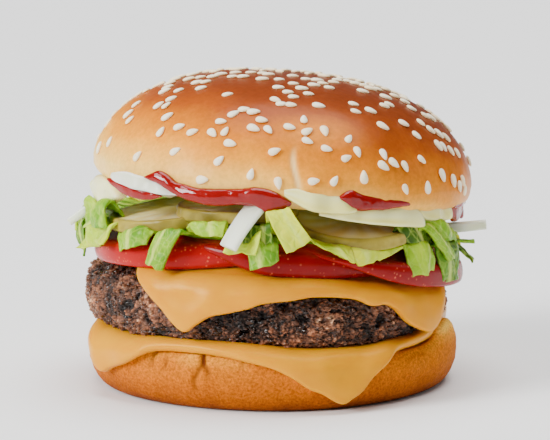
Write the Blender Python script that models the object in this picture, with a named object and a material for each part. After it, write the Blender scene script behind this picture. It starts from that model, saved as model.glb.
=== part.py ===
"""A cheeseburger with salad, as plain closed solids, one named object for each separate piece.

Lengths below are in millimetres and are turned into metres when a mesh is made. The centre of the flat foot of
the bottom bun is the origin, up is +Z and the front is -Y.
"""
import math

import bmesh
import bpy
import numpy as np
from mathutils.bvhtree import BVHTree

# Driving sizes
BUN_RADIUS = 51.2
HEEL_RADIUS = 49.8
HEEL_RIM = 15.2
CROWN_CENTRE = (2.75, 0.0)
CROWN_BASE = 52.0
CROWN_HEIGHT = 31.0
CROWN_LEAN_RIGHT = 4.8
CROWN_LEAN_BACK = 1.0
CHEESE_THICK = 2.0
CHEESE_BEND = 3.2
PATTY_RADIUS = 48.8
TOMATO_THICK = 6.0
PICKLE_THICK = 3.1
LEAF_THICK = 1.0
SEED_COUNT = 140
SEED_LENGTH = 3.7
SEED_WIDTH = 2.2
CLEAR = 0.35
MM = 0.001

for old in list(bpy.data.objects):
    bpy.data.objects.remove(old, do_unlink=True)

COLOURS = {
    "crown": (0.52, 0.22, 0.06, 1.0), "heel": (0.62, 0.30, 0.10, 1.0), "patty": (0.07, 0.035, 0.02, 1.0),
    "cheese": (0.90, 0.46, 0.07, 1.0), "tomato": (0.62, 0.04, 0.02, 1.0), "lettuce": (0.36, 0.52, 0.11, 1.0),
    "pickle": (0.34, 0.28, 0.06, 1.0), "onion": (0.78, 0.79, 0.66, 1.0), "mayonnaise": (0.85, 0.80, 0.62, 1.0),
    "ketchup": (0.45, 0.02, 0.01, 1.0),
}


def material_for(node):
    """Return the Principled material of a node, each node having its own."""
    kind = node.split("_")[0]
    mat = bpy.data.materials.new(node)
    mat.use_nodes = True
    shader = mat.node_tree.nodes["Principled BSDF"]
    shader.inputs["Base Color"].default_value = COLOURS[kind]
    shader.inputs["Roughness"].default_value = 0.5
    return mat


def make_object(node, points, faces, paint=True):
    """Make one object from points in millimetres and a list of faces, with the faces turned outwards."""
    mesh = bpy.data.meshes.new(node)
    mesh.from_pydata([tuple(p) for p in np.asarray(points, float) * MM], [], [tuple(f) for f in faces])
    work = bmesh.new()
    work.from_mesh(mesh)
    bmesh.ops.recalc_face_normals(work, faces=work.faces)
    work.to_mesh(mesh)
    work.free()
    obj = bpy.data.objects.new(node, mesh)
    bpy.context.scene.collection.objects.link(obj)
    if paint:
        mesh.materials.append(material_for(node))
    return obj


def ease(low, high, value):
    """Smooth step from 0 at low to 1 at high."""
    t = np.clip((np.asarray(value, float) - low) / (high - low), 0.0, 1.0)
    return t * t * (3.0 - 2.0 * t)


def window(azimuth, first, last, soft):
    """1 between two azimuths in degrees, easing to 0 over the soft width outside them."""
    middle = 0.5 * (first + last)
    half = 0.5 * (last - first)
    away = np.abs((np.asarray(azimuth, float) - middle + 180.0) % 360.0 - 180.0)
    return 1.0 - ease(half, half + soft, away)


def polar_body(node, rings, start, end, paint=True):
    """Closed body from rings of points that run from a start point to an end point."""
    rings = [np.asarray(r, float) for r in rings]
    count = len(rings[0])
    points = np.vstack([np.asarray(start, float)[None]] + rings + [np.asarray(end, float)[None]])
    faces = []
    last = len(points) - 1
    for j in range(count):
        k = (j + 1) % count
        faces.append((0, 1 + k, 1 + j))
        for i in range(len(rings) - 1):
            a = 1 + i * count
            b = a + count
            faces.append((a + j, a + k, b + k))
            faces.append((a + j, b + k, b + j))
        a = 1 + (len(rings) - 1) * count
        faces.append((a + j, a + k, last))
    return make_object(node, points, faces, paint)


def shoulder(x, y):
    """How far the filling droops towards the rim of the bun."""
    r = np.hypot(x, y)
    return 0.015 * np.maximum(0.0, r - 36.0) ** 2


def patty_level(x):
    """Height of the top of the patty before its rim is rounded: it falls away to the right."""
    x = np.asarray(x, float)
    return 35.0 - 0.0017 * np.maximum(0.0, x + 20.0) ** 2 - 0.0016 * np.maximum(0.0, -20.0 - x) ** 2


def patty_top(x, y):
    """Top of the patty."""
    return patty_level(x) - shoulder(x, y)


def crown_under(x, y):
    """Plane of the underside of the top bun, leaning to the right and a little back."""
    right = math.tan(math.radians(CROWN_LEAN_RIGHT))
    back = math.tan(math.radians(CROWN_LEAN_BACK))
    return CROWN_BASE - right * (x - CROWN_CENTRE[0]) - back * y


def circle(count):
    """Azimuths in radians of one ring."""
    return np.arange(count) * 2.0 * math.pi / count


def ring(azimuth, radius, height, centre=(0.0, 0.0)):
    """Points of one ring; height is a number, an array or a function of x and y."""
    x = centre[0] + radius * np.cos(azimuth)
    y = centre[1] + radius * np.sin(azimuth)
    z = height(x, y) if callable(height) else height + 0.0 * x
    return np.c_[x, y, z]


def heel_rim(deg):
    """Height of the rim of the bottom bun with azimuth: lowest at the front right, curled up at the right."""
    return HEEL_RIM - 1.3 * window(deg, -75.0, -40.0, 25.0) + rim_curl(deg)


def rim_curl(deg):
    """Extra height of the rim where it curls up at the right."""
    return 3.2 * window(deg, -19.0, -11.0, 9.0)


def make_heel():
    """Bottom bun: a flat foot, a bulging side and a dished top with a raised rim."""
    az = circle(34)
    rim = heel_rim(np.degrees(az))
    wobble = 1.0 + 0.004 * np.sin(3.0 * az + 0.7) + 0.003 * np.sin(5.0 * az + 2.0)
    outer = HEEL_RADIUS * wobble
    rings = [
        ring(az, 0.885 * outer, 0.0),
        ring(az, 0.955 * outer, 1.4),
        ring(az, 0.99 * outer, 4.6),
        ring(az, outer, 9.0),
        ring(az, 0.985 * outer, rim - 3.4),
        ring(az, 0.966 * outer, rim - 1.2),
        ring(az, 0.945 * outer, rim - 0.5),
        ring(az, 0.895 * outer, 12.8),
        ring(az, 0.80 * outer, 12.4),
    ]
    return polar_body("heel", rings, (0.0, 0.0, 0.0), (0.0, 0.0, 12.4))


def patty_side(azimuth_deg):
    """Outward growth of the patty with azimuth."""
    a = np.radians(azimuth_deg)
    return 1.0 + 0.006 * np.sin(2.0 * a + 1.0) + 0.008 * np.sin(5.0 * a) - 0.02 * window(azimuth_deg, -20.0, 70.0, 40.0)


def make_patty():
    """Beef patty: a flat disc with a crumbly side, thinner on the right."""
    rng = np.random.default_rng(7)
    count = 40
    az = circle(count)
    deg = np.degrees(az)
    grow = PATTY_RADIUS * patty_side(deg)
    centre = (-0.8, 0.0)
    floor = heel_rim(deg) - rim_curl(deg) + CHEESE_THICK + 2.0 * CLEAR + 0.1
    top = patty_top(47.0 * np.cos(az), 47.0 * np.sin(az))
    rings = [ring(az, 0.76 * grow, 15.6, centre)]
    for share, out in ((0.0, 0.935), (0.13, 0.975), (0.36, 1.0), (0.64, 1.0), (0.90, 0.97)):
        rough = 0.5 * rng.standard_normal(count).clip(-1.5, 0.9) * (0.4 if share in (0.0, 0.90) else 1.0)
        z = floor + share * (top - floor) + 0.3 * rng.standard_normal(count) * (share > 0.0) * (share < 0.9)
        rings.append(ring(az, out * grow + rough - 0.5, z, centre))
    rings.append(ring(az, 0.90 * grow, patty_top, centre))
    rings.append(ring(az, 0.64 * grow, patty_top, centre))
    rings.append(ring(az, 0.34 * grow, patty_top, centre))
    return polar_body("patty", rings, (centre[0], 0.0, 15.6), (centre[0], 0.0, float(patty_top(centre[0], 0.0))))


# Outlines of the melted cheese slices: azimuth and the distance along the slice from the middle to its edge
CHEESE_UPPER = (
    (-170.0, 45.5), (-152.0, 46.0), (-140.0, 47.4), (-134.0, 49.2), (-129.0, 52.0), (-124.0, 56.2), (-120.0, 60.6),
    (-116.0, 62.8), (-112.5, 60.8), (-108.0, 57.6), (-102.5, 55.5), (-97.0, 54.1), (-90.0, 53.0), (-84.0, 51.5),
    (-77.0, 50.2), (-66.0, 50.2), (-57.0, 51.4), (-52.0, 52.7), (-47.0, 55.8), (-42.0, 58.6), (-37.0, 59.8),
    (-32.0, 58.0), (-28.0, 54.4), (-22.0, 50.0), (-12.0, 46.5), (8.0, 45.2), (28.0, 47.0), (42.0, 52.0),
    (49.0, 57.5), (54.0, 60.0), (59.0, 57.5), (66.0, 52.0), (80.0, 47.5), (96.0, 46.2), (116.0, 48.5),
    (130.0, 54.0), (140.0, 60.2), (150.0, 54.0), (164.0, 48.0))
CHEESE_LOWER = (
    (-178.0, 46.8), (-170.0, 48.6), (-163.0, 51.8), (-157.0, 54.8), (-152.5, 58.2), (-148.5, 59.6), (-144.0, 57.4),
    (-138.0, 54.4), (-132.0, 51.8), (-126.0, 49.6), (-116.0, 49.0), (-106.0, 49.4), (-97.0, 50.8), (-89.0, 52.0),
    (-84.0, 54.0), (-79.5, 56.6), (-75.5, 59.6), (-72.0, 61.9), (-69.2, 62.6), (-66.5, 61.6), (-63.5, 58.0),
    (-60.0, 54.6), (-55.5, 51.8), (-49.0, 48.7), (-38.0, 46.8), (-28.0, 46.0), (-19.0, 45.4), (-11.0, 45.4),
    (-2.0, 46.0), (6.0, 47.8), (13.0, 52.8), (20.5, 59.8), (29.0, 52.5), (40.0, 48.0), (53.0, 46.8), (66.0, 46.4),
    (79.0, 46.8), (92.0, 48.0), (102.5, 53.0), (111.0, 59.8), (119.5, 53.0), (130.0, 48.5), (142.0, 47.0),
    (155.0, 46.5), (168.0, 46.5))


def cheese_slice(node, outline, edge, under, hang_out):
    """A melted slice that lies on its support and hangs down past the edge of it.

    outline gives azimuths and lengths of the slice, edge the radius where it bends, and under what it lies on.
    """
    az = np.radians([row[0] for row in outline])
    reach = np.array([row[1] for row in outline])
    near = np.minimum(0.93 * reach, edge - 0.8)
    rest = reach - near
    tops, bottoms = [], []
    for radius in (0.36 * reach, np.minimum(0.70 * reach, 37.5), np.minimum(0.84 * reach, 42.0), near,
                   np.minimum(near + 0.4 * rest, edge + 2.6), np.minimum(near + 0.8 * rest, edge + 6.6), reach):
        x = radius * np.cos(az)
        y = radius * np.sin(az)
        tops.append(drape(x, y, edge, under, hang_out, CLEAR + CHEESE_THICK))
        bottoms.append(drape(x, y, edge, under, hang_out, CLEAR))
    middle = np.zeros(1)
    start = drape(middle, middle, edge, under, hang_out, CLEAR)[0]
    end = drape(middle, middle, edge, under, hang_out, CLEAR + CHEESE_THICK)[0]
    return polar_body(node, bottoms + tops[::-1], start, end)


def drape(x, y, edge, under, hang_out, lift):
    """Points of a sheet laid over a round support, lift above it, bending down round its edge."""
    r = np.hypot(x, y)
    az = np.arctan2(y, x)
    over = np.maximum(0.0, r - edge)
    bend = CHEESE_BEND + lift
    quarter = 0.5 * math.pi * (CHEESE_BEND + 0.5 * CHEESE_THICK + CLEAR)
    angle = np.minimum(over / quarter, 1.0) * 0.5 * math.pi
    straight = np.maximum(0.0, over - quarter)
    radius = np.minimum(r, edge) + bend * np.sin(angle) + hang_out * straight
    inside = np.minimum(r, edge)
    base = under(inside * np.cos(az), inside * np.sin(az))
    z = base - CHEESE_BEND + bend * np.cos(angle) - straight
    return np.c_[radius * np.cos(az), radius * np.sin(az), z]


def heel_top(x, y):
    """Height that the lower slice lies on: the dished top of the bottom bun and its rim."""
    deg = np.degrees(np.arctan2(y, x))
    r = np.hypot(x, y)
    return 12.6 + (heel_rim(deg) - rim_curl(deg) - 12.5) * ease(38.5, 46.0, r) + rim_curl(deg) * ease(45.6, 47.6, r)


def slab(node, centre, radius, low, high, bevel=0.7, count=24, shape=None, inner=()):
    """A round slice between two height functions, with a bevelled rim and inner rings at the given shares."""
    az = circle(count)
    reach = radius * (shape(az) if shape else 1.0)
    rings = [ring(az, share * reach, low, centre) for share in inner]
    rings += [ring(az, reach - bevel, low, centre), ring(az, reach, lambda x, y: low(x, y) + bevel, centre)]
    rings += [ring(az, reach, lambda x, y: high(x, y) - bevel, centre), ring(az, reach - bevel, high, centre)]
    rings += [ring(az, share * reach, high, centre) for share in inner[::-1]]
    cx, cy = centre
    return polar_body(node, rings, (cx, cy, float(low(cx, cy))), (cx, cy, float(high(cx, cy))))


def slab_tool(centre, radius, low, high, shape=None, inner=(), up=0.0, down=0.0, count=14):
    """Cutter that clears a neighbour's slice all round and reaches further up or down."""
    az = circle(count)
    reach = (radius + CLEAR) * (shape(az) if shape else 1.0) / math.cos(math.pi / count)
    bottom = lambda x, y: low(x, y) - CLEAR - down
    top = lambda x, y: high(x, y) + CLEAR + up
    rings = [ring(az, share * reach, bottom, centre) for share in inner] + [ring(az, reach, bottom, centre)]
    rings += [ring(az, reach, top, centre)] + [ring(az, share * reach, top, centre) for share in inner[::-1]]
    cx, cy = centre
    return polar_body("tool", rings, (cx, cy, float(bottom(cx, cy))), (cx, cy, float(top(cx, cy))), paint=False)


def cut(obj, cutters, solver="EXACT"):
    """Take cutters away from an object, apply the result and keep its largest piece."""
    for tool in cutters:
        mod = obj.modifiers.new("cut", "BOOLEAN")
        mod.operation = "DIFFERENCE"
        mod.solver = solver
        mod.object = tool
    bake(obj)
    for tool in cutters:
        bpy.data.objects.remove(tool, do_unlink=True)
    keep_largest(obj)


def bake(obj):
    """Replace the mesh of an object by what its modifiers make of it."""
    graph = bpy.context.evaluated_depsgraph_get()
    graph.update()
    made = bpy.data.meshes.new_from_object(obj.evaluated_get(graph))
    obj.modifiers.clear()
    obj.data = made


def keep_largest(obj):
    """Drop loose scraps that a cut has left, tidy needle faces and split all faces into triangles."""
    work = bmesh.new()
    work.from_mesh(obj.data)
    left = set(work.verts)
    groups = []
    while left:
        stack = [left.pop()]
        group = set(stack)
        while stack:
            v = stack.pop()
            for e in v.link_edges:
                o = e.other_vert(v)
                if o in left:
                    left.discard(o)
                    group.add(o)
                    stack.append(o)
        groups.append(group)
    groups.sort(key=len)
    for group in groups[:-1]:
        bmesh.ops.delete(work, geom=list(group), context="VERTS")
    bmesh.ops.triangulate(work, faces=work.faces)
    work.to_mesh(obj.data)
    work.free()


def tomato_base(x, y):
    """Height at which a slice of tomato lies flat on the upper cheese."""
    return patty_level(x) + CHEESE_THICK + 2.0 * CLEAR + 0.45 - np.minimum(shoulder(x, y), MOST_DROOP)


def lift(x, start, rate):
    """How far a slice rises to the left of start, where it leans on the slice beside it."""
    return MOST_LIFT * np.tanh(rate * np.maximum(0.0, start - np.asarray(x, float)) ** 2 / MOST_LIFT)


def hidden_side(name):
    """Outline of a slice: its hidden side is cut back, and its outer side stays inside TOMATO_LIMIT."""
    centre, radius, _, _, direction, amount = TOMATOES[name]

    def shape(az):
        away = np.abs((np.degrees(az) - direction + 180.0) % 360.0 - 180.0)
        along = centre[0] * np.cos(az) + centre[1] * np.sin(az)
        limit = np.sqrt(TOMATO_LIMIT**2 - centre[0] ** 2 - centre[1] ** 2 + along**2) - along
        free = 1.0 - amount * (1.0 - ease(20.0, 110.0, away)) + 0.008 * np.sin(3.0 * az + direction)
        return np.minimum(free, limit / radius)
    return shape


# Tomato slices: centre, radius, start and rate of the lift, and the hidden direction with its cut
TOMATOES = {
    "tomato_left": ((-12.8, -9.5), 31.0, 0.0, 0.0, 25.0, 0.42),
    "tomato_middle": ((1.5, -17.5), 30.0, 2.0, 0.016, 90.0, 0.40),
    "tomato_right": ((17.3, -13.0), 33.0, 42.0, 0.0105, 160.0, 0.45),
    "tomato_back": ((2.0, 16.0), 31.0, 0.0, 0.0, -90.0, 0.40),
}
MOST_LIFT = 5.0
TOMATO_LIMIT = 50.8
MOST_DROOP = 1.9
TOMATO_RINGS = (0.40, 0.74)


def tomato_faces(name):
    """Lower and upper height functions of a slice."""
    start, rate = TOMATOES[name][2:4]
    low = lambda x, y: tomato_base(x, y) + lift(x, start, rate)
    high = lambda x, y: tomato_base(x, y) + TOMATO_THICK
    return low, high


def tomato(name):
    centre, radius = TOMATOES[name][:2]
    low, high = tomato_faces(name)
    return slab(name, centre, radius, low, high, 0.45, 20, hidden_side(name), TOMATO_RINGS)


def tomato_tool(name, up=0.0, down=0.0):
    centre, radius = TOMATOES[name][:2]
    low, high = tomato_faces(name)
    return slab_tool(centre, radius, low, high, hidden_side(name), TOMATO_RINGS, up, down, 20)


# Pickle slices: centre, radius, height of the lower face at the centre and its slopes
PICKLES = {
    "pickle_left": ((-24.5, -21.0), 18.0, 46.5, 0.10, 0.03),
    "pickle_middle": ((-9.2, -30.2), 14.8, 48.1, 0.0, 0.0),
    "pickle_right": ((20.9, -28.8), 14.9, 44.7, -0.06, 0.20),
    "pickle_shaded": ((30.5, -13.0), 14.5, 42.9, -0.06, -0.05),
    "pickle_back": ((-15.0, 25.5), 16.0, 47.6, -0.05, 0.0),
    "pickle_rear": ((15.5, 27.0), 14.3, 45.2, -0.08, 0.0),
}


def pickle_faces(name):
    """Lower and upper height functions of a pickle slice."""
    centre, _, height, sx, sy = PICKLES[name]
    low = lambda x, y: height + sx * (x - centre[0]) + sy * (y - centre[1])
    return low, lambda x, y: low(x, y) + PICKLE_THICK


def pickle(name):
    centre, radius = PICKLES[name][:2]
    low, high = pickle_faces(name)
    return slab(name, centre, radius, low, high, 0.5, 16)


def pickle_tool(name, up=0.0, down=0.0):
    centre, radius = PICKLES[name][:2]
    low, high = pickle_faces(name)
    return slab_tool(centre, radius, low, high, None, (), up, down)


def ribbon(node, centres, half_wide, half_thick, wide, thin, paint=True):
    """Closed strip swept through centre points; wide and thin are the two cross directions at each point."""
    centres = np.asarray(centres, float)
    n = len(centres)
    w = np.asarray(wide, float) * np.asarray(half_wide, float)[:, None]
    t = np.asarray(thin, float) * np.asarray(half_thick, float)[:, None]
    points = np.stack([centres - w - t, centres + w - t, centres + w + t, centres - w + t], 1).reshape(-1, 3)
    faces = [(0, 2, 1), (0, 3, 2)]
    for i in range(n - 1):
        a = 4 * i
        for j in range(4):
            k = (j + 1) % 4
            faces.append((a + j, a + k, a + 4 + k))
            faces.append((a + j, a + 4 + k, a + 4 + j))
    e = 4 * (n - 1)
    faces += [(e, e + 1, e + 2), (e, e + 2, e + 3)]
    return make_object(node, points, faces, paint)


# Onion petals: azimuth range, heights of the lower and upper edge at both ends, radius and thickness
PETALS = {
    "onion_crescent": (-141.0, -117.0, 57.0, 54.6, 59.2, 56.4, 53.4, 1.4),
    "onion_petal_front": (-86.0, -66.0, 53.0, 51.4, 57.2, 53.2, 52.8, 1.5),
    "onion_petal_middle": (-76.0, -38.0, 49.8, 45.4, 51.2, 48.4, 50.2, 1.8),
    "onion_petal_right": (-35.0, -15.0, 45.0, 43.6, 48.4, 46.6, 50.2, 1.7),
    "onion_petal_back": (60.0, 96.0, 45.4, 48.2, 48.4, 50.6, 48.6, 1.8),
}


def petal(name, grow=0.0):
    """A curved layer of onion standing along the rim, widest in the middle and thin at its ends."""
    first, last, low0, low1, high0, high1, radius, thickness = PETALS[name]
    s = np.linspace(0.0, 1.0, 9)
    az = np.radians(first + (last - first) * s)
    low = low0 + (low1 - low0) * s - 0.8 * np.sin(math.pi * s)
    high = high0 + (high1 - high0) * s + 0.3 * np.sin(math.pi * s)
    centres = np.c_[radius * np.cos(az), radius * np.sin(az), 0.5 * (low + high)]
    wide = np.tile((0.0, 0.0, 1.0), (9, 1))
    thin = np.c_[np.cos(az), np.sin(az), 0.0 * az]
    shape = 0.35 + 0.65 * np.sqrt(np.sin(math.pi * (0.06 + 0.88 * s)))
    node = name if grow == 0.0 else "tool_" + name
    return ribbon(node, centres, 0.5 * (high - low) * shape + grow, 0.5 * thickness * (0 * s + 1) + grow, wide, thin,
                  grow == 0.0)


# Straight onion pieces: two ends, width and thickness, and the direction of the width
STICKS = {
    "onion_strip": ((-5.0, -51.6, 52.2), (-11.6, -52.6, 43.4), 6.4, 2.3, (0.80, 0.0, 0.60)),
    "onion_stick_left": ((-47.4, -10.3, 48.4), (-54.0, -10.0, 44.0), 2.3, 1.8, (0.35, 0.0, -0.93)),
    "onion_stick_right": ((46.6, -9.0, 41.8), (57.0, -11.0, 43.0), 2.3, 1.8, (0.0, 0.0, 1.0)),
}


def stick(name, grow=0.0):
    """A cut piece of onion, bowed a little along its length."""
    start, end, width, thickness, across = STICKS[name]
    s = np.linspace(0.0, 1.0, 5)[:, None]
    start = np.array(start)
    end = np.array(end)
    along = (end - start) / np.linalg.norm(end - start)
    start = start - along * grow
    end = end + along * grow
    wide = np.array(across) - along * np.dot(across, along)
    wide /= np.linalg.norm(wide)
    thin = np.cross(along, wide)
    centres = start + (end - start) * s + thin * 0.5 * np.sin(math.pi * s)
    taper = (1.0 - 0.12 * s[:, 0]) * 0.5
    node = name if grow == 0.0 else "tool_" + name
    return ribbon(node, centres, width * taper + grow, thickness * taper + grow, np.tile(wide, (5, 1)),
                  np.tile(thin, (5, 1)), grow == 0.0)


# Leaves at the front: azimuth, width, height where it leaves the rim, height of its tip, radius, sideways lean
LEAVES = [
    (-160.0, 13.0, 48.2, 45.0, 49.6, 0.0), (-161.0, 14.0, 44.6, 37.6, 50.4, 0.0), (-138.0, 9.5, 45.4, 39.6, 50.8, 0.5),
    (-129.0, 5.0, 45.6, 41.2, 50.2, 0.0), (-121.0, 7.0, 45.6, 36.4, 51.6, -3.0), (-109.0, 11.0, 46.6, 44.0, 49.6, 0.0),
    (-101.0, 8.0, 43.8, 40.2, 50.2, 1.0), (-92.0, 8.5, 45.0, 38.4, 51.4, 0.0), (-84.0, 10.0, 51.0, 42.2, 52.6, 0.0),
    (-58.0, 20.0, 41.6, 38.0, 50.6, 0.0), (-41.0, 9.5, 42.0, 34.6, 52.0, 0.0), (-25.0, 8.0, 39.6, 30.4, 53.0, -2.0),
    (-19.0, 11.0, 43.6, 40.0, 50.2, 0.0), (-9.0, 4.5, 38.6, 36.0, 54.6, 0.0),
]


def back_leaves():
    """Leaves round the back, drawn by a seeded rule with the same sizes as the ones at the front."""
    rng = np.random.default_rng(21)
    rows = []
    for azimuth in np.arange(10.0, 186.0, 24.0):
        az = azimuth + rng.uniform(-3.0, 3.0)
        x = 50.0 * math.cos(math.radians(az))
        start = float(patty_level(x)) + 11.2 + rng.uniform(-0.8, 1.2)
        rows.append((az, rng.uniform(8.0, 14.0), start, start - rng.uniform(4.5, 9.5), rng.uniform(50.0, 52.0),
                     rng.uniform(-2.0, 2.0)))
    return rows


def leaf(node, row, seed):
    """One wavy strip of lettuce that starts in the core, crosses the rim and hangs down outside it."""
    azimuth, width, z_rim, z_tip, radius, lean = row
    rng = np.random.default_rng(seed)
    cols = 3
    wave = rng.uniform(0.0, 6.28)
    az = math.radians(azimuth)
    outward = np.array((math.cos(az), math.sin(az), 0.0))
    side = np.array((-math.sin(az), math.cos(az), 0.0))
    inner = float(patty_level(38.0 * math.cos(az))) + 10.55
    path = [(37.0, inner), (radius - 3.4, 0.5 * inner + 0.5 * z_rim), (radius - 0.4, z_rim - 0.5),
            (radius + 0.7, z_tip)]
    down = [np.array((0.0, 0.0, 1.0)), np.array((0.0, 0.0, 1.0)), outward * 0.75 + np.array((0.0, 0.0, 0.66)), outward]
    upper, lower = [], []
    for i, (r, z) in enumerate(path):
        for j in range(cols):
            c = (j / (cols - 1.0) - 0.5) * width * (1.0 if i else 0.7)
            swing = lean * i / 3.0
            ripple = 0.55 * math.sin(wave + 2.6 * j + 0.9 * i) * (i > 0)
            tip = rng.uniform(-0.9, 0.9) * (i == 3)
            p = outward * math.sqrt(max(r * r - c * c, 1.0)) + side * (c + swing) + np.array((0.0, 0.0, z + tip))
            p = p + down[i] * ripple
            upper.append(p + down[i] * 0.5 * LEAF_THICK)
            lower.append(p - down[i] * 0.5 * LEAF_THICK)
    points = upper + lower
    off = len(upper)
    rows = len(path)
    faces = []
    for i in range(rows - 1):
        for j in range(cols - 1):
            a = i * cols + j
            faces += [(a, a + 1, a + cols + 1), (a, a + cols + 1, a + cols)]
            faces += [(off + a, off + a + cols + 1, off + a + 1), (off + a, off + a + cols, off + a + cols + 1)]
    rim = [j for j in range(cols)] + [i * cols + cols - 1 for i in range(1, rows)]
    rim += [(rows - 1) * cols + j for j in range(cols - 2, -1, -1)] + [i * cols for i in range(rows - 2, 0, -1)]
    for a, b in zip(rim, rim[1:] + rim[:1]):
        faces += [(a, b, off + b), (a, off + b, off + a)]
    return make_object(node, points, faces, False)


def fuse(core, pieces, solver="EXACT"):
    """Join pieces to a core by one union on a collection, apply it and remove the pieces."""
    group = bpy.data.collections.new("pieces")
    bpy.context.scene.collection.children.link(group)
    for piece in pieces:
        bpy.context.scene.collection.objects.unlink(piece)
        group.objects.link(piece)
    mod = core.modifiers.new("fuse", "BOOLEAN")
    mod.operation = "UNION"
    mod.solver = solver
    mod.operand_type = "COLLECTION"
    mod.collection = group
    bake(core)
    for piece in pieces:
        bpy.data.objects.remove(piece, do_unlink=True)
    bpy.data.collections.remove(group)
    keep_largest(core)


def lettuce_core_low(x, y):
    return tomato_base(x, y) + TOMATO_THICK + CLEAR + 0.5


def lettuce_core_high(x, y):
    return lettuce_core_low(x, y) + 1.1


def make_lettuce():
    """Shredded lettuce: a core that fills between tomato and pickle, with the strips that show fused on."""
    core = slab("lettuce", (0.0, 0.0), 44.0, lettuce_core_low, lettuce_core_high, 0.5, 18, None, (0.6,))
    rows = LEAVES + back_leaves()
    fuse(core, [leaf("leaf", row, 100 + i) for i, row in enumerate(rows)], "MANIFOLD")
    tools = [tomato_tool(name, down=6.0) for name in ("tomato_middle", "tomato_right")]
    tools += [pickle_tool(name, up=14.0) for name in PICKLES]
    tools += [petal(name, CLEAR) for name in PETALS]
    tools += [stick(name, CLEAR) for name in STICKS]
    cut(core, tools, "MANIFOLD")
    return core


def sauce(node, above, thickness, inner, rim, under, drip, count=36):
    """A thin layer in the hollow of the top bun whose edge dips under the rim and hangs down where it shows."""
    az = circle(count)
    deg = np.degrees(az)
    edge, dip, fall = rim(deg), under(deg), drip(deg)
    rings = []
    steps = ((None, thickness, 0.0), (0.0, thickness, 0.0), (0.92, thickness, 1.0), (1.0, 0.3 * thickness, 0.5),
             (0.0, 0.0, 0.0), (None, 0.0, 0.0))
    for share, lower, extra in steps:
        flat = share is None
        reach = inner + 0.0 * az if flat else inner + 1.6 + share * (edge - inner - 1.6)
        points = ring(az, reach, crown_under, CROWN_CENTRE)
        points[:, 2] += above - lower - extra * fall - (0.0 if flat else 1.0) * dip
        rings.append(points)
    cx, cy = CROWN_CENTRE
    middle = float(crown_under(cx, cy)) + above
    return polar_body(node, rings, (cx, cy, middle - thickness), (cx, cy, middle))


def ketchup_rim(deg):
    """Reach of the ketchup with azimuth: it shows at the front left, front right, right and at the back."""
    reach = 8.6 * window(deg, -132.0, -96.0, 9.0) + 5.0 * window(deg, -66.0, -46.0, 10.0)
    reach = reach + 7.4 * window(deg, -8.0, -1.0, 9.0) + 7.4 * window(deg, 26.0, 46.0, 10.0)
    return 41.7 + reach + 6.4 * window(deg, 128.0, 148.0, 10.0)


def ketchup_under(deg):
    """The ketchup dips under the rim all round."""
    return 2.85 + 0.0 * deg


def ketchup_drip(deg):
    """How far the ketchup hangs down with azimuth."""
    fall = 1.5 * window(deg, -126.0, -98.0, 9.0) + 0.5 * window(deg, -62.0, -50.0, 8.0)
    return fall + 2.6 * window(deg, -7.0, -2.0, 7.0) + 0.9 * window(deg, 30.0, 42.0, 8.0)


def mayonnaise_rim(deg):
    """Reach of the mayonnaise with azimuth: it shows at the left."""
    return 38.6 + 12.6 * window(deg, 170.0, 204.0, 10.0)


def mayonnaise_under(deg):
    """The mayonnaise dips under the ketchup a little before it comes out."""
    return 2.85 * window(deg, 152.0, 220.0, 10.0)


def mayonnaise_drip(deg):
    """How far the mayonnaise hangs down with azimuth."""
    return 2.6 * window(deg, 184.0, 200.0, 12.0)


def crown_points(radius, height, azimuth):
    """Points of a ring of the top bun in its own frame, turned into the leaning frame."""
    local = np.c_[radius * np.cos(azimuth), radius * np.sin(azimuth), height + 0.0 * azimuth]
    return crown_turn(local)


def crown_turn(local):
    """Lean local points of the top bun to the right and back, and lift them to its place."""
    a = math.radians(CROWN_LEAN_RIGHT)
    b = math.radians(CROWN_LEAN_BACK)
    turn_y = np.array([[math.cos(a), 0.0, math.sin(a)], [0.0, 1.0, 0.0], [-math.sin(a), 0.0, math.cos(a)]])
    turn_x = np.array([[1.0, 0.0, 0.0], [0.0, math.cos(b), math.sin(b)], [0.0, -math.sin(b), math.cos(b)]])
    return local @ (turn_x.T @ turn_y.T) + np.array([CROWN_CENTRE[0], CROWN_CENTRE[1], CROWN_BASE])


def crown_profile(t):
    """Radius and height of the outside of the top bun, from t = 0 at its widest to 1 at its top."""
    angle = 0.5 * math.pi * np.asarray(t, float)
    radius = BUN_RADIUS * np.cos(angle) ** 0.80
    height = 4.0 + (CROWN_HEIGHT - 4.0) * np.sin(angle) ** 1.06
    return radius, height


def make_crown():
    """Top bun: a leaning dome with a rounded rim, a hollowed underside and sesame seeds fused on."""
    az = circle(40)
    wobble = 1.0 + 0.004 * np.sin(2.0 * az + 0.4) + 0.003 * np.sin(5.0 * az)
    rings = [crown_points(42.4 * wobble, 3.0, az), crown_points(45.4 * wobble, 0.3, az),
             crown_points(47.6 * wobble, 0.0, az), crown_points(49.9 * wobble, 0.9, az)]
    for t in (0.0, 0.12, 0.25, 0.38, 0.50, 0.62, 0.74, 0.86):
        radius, height = crown_profile(t)
        rings.append(crown_points(radius * wobble, height, az))
    start = crown_turn(np.array([[0.0, 0.0, 3.0]]))[0]
    end = crown_turn(np.array([[0.0, 0.0, CROWN_HEIGHT]]))[0]
    dome = polar_body("crown", rings, start, end)
    fuse(dome, sesame(dome))
    return dome


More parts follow.
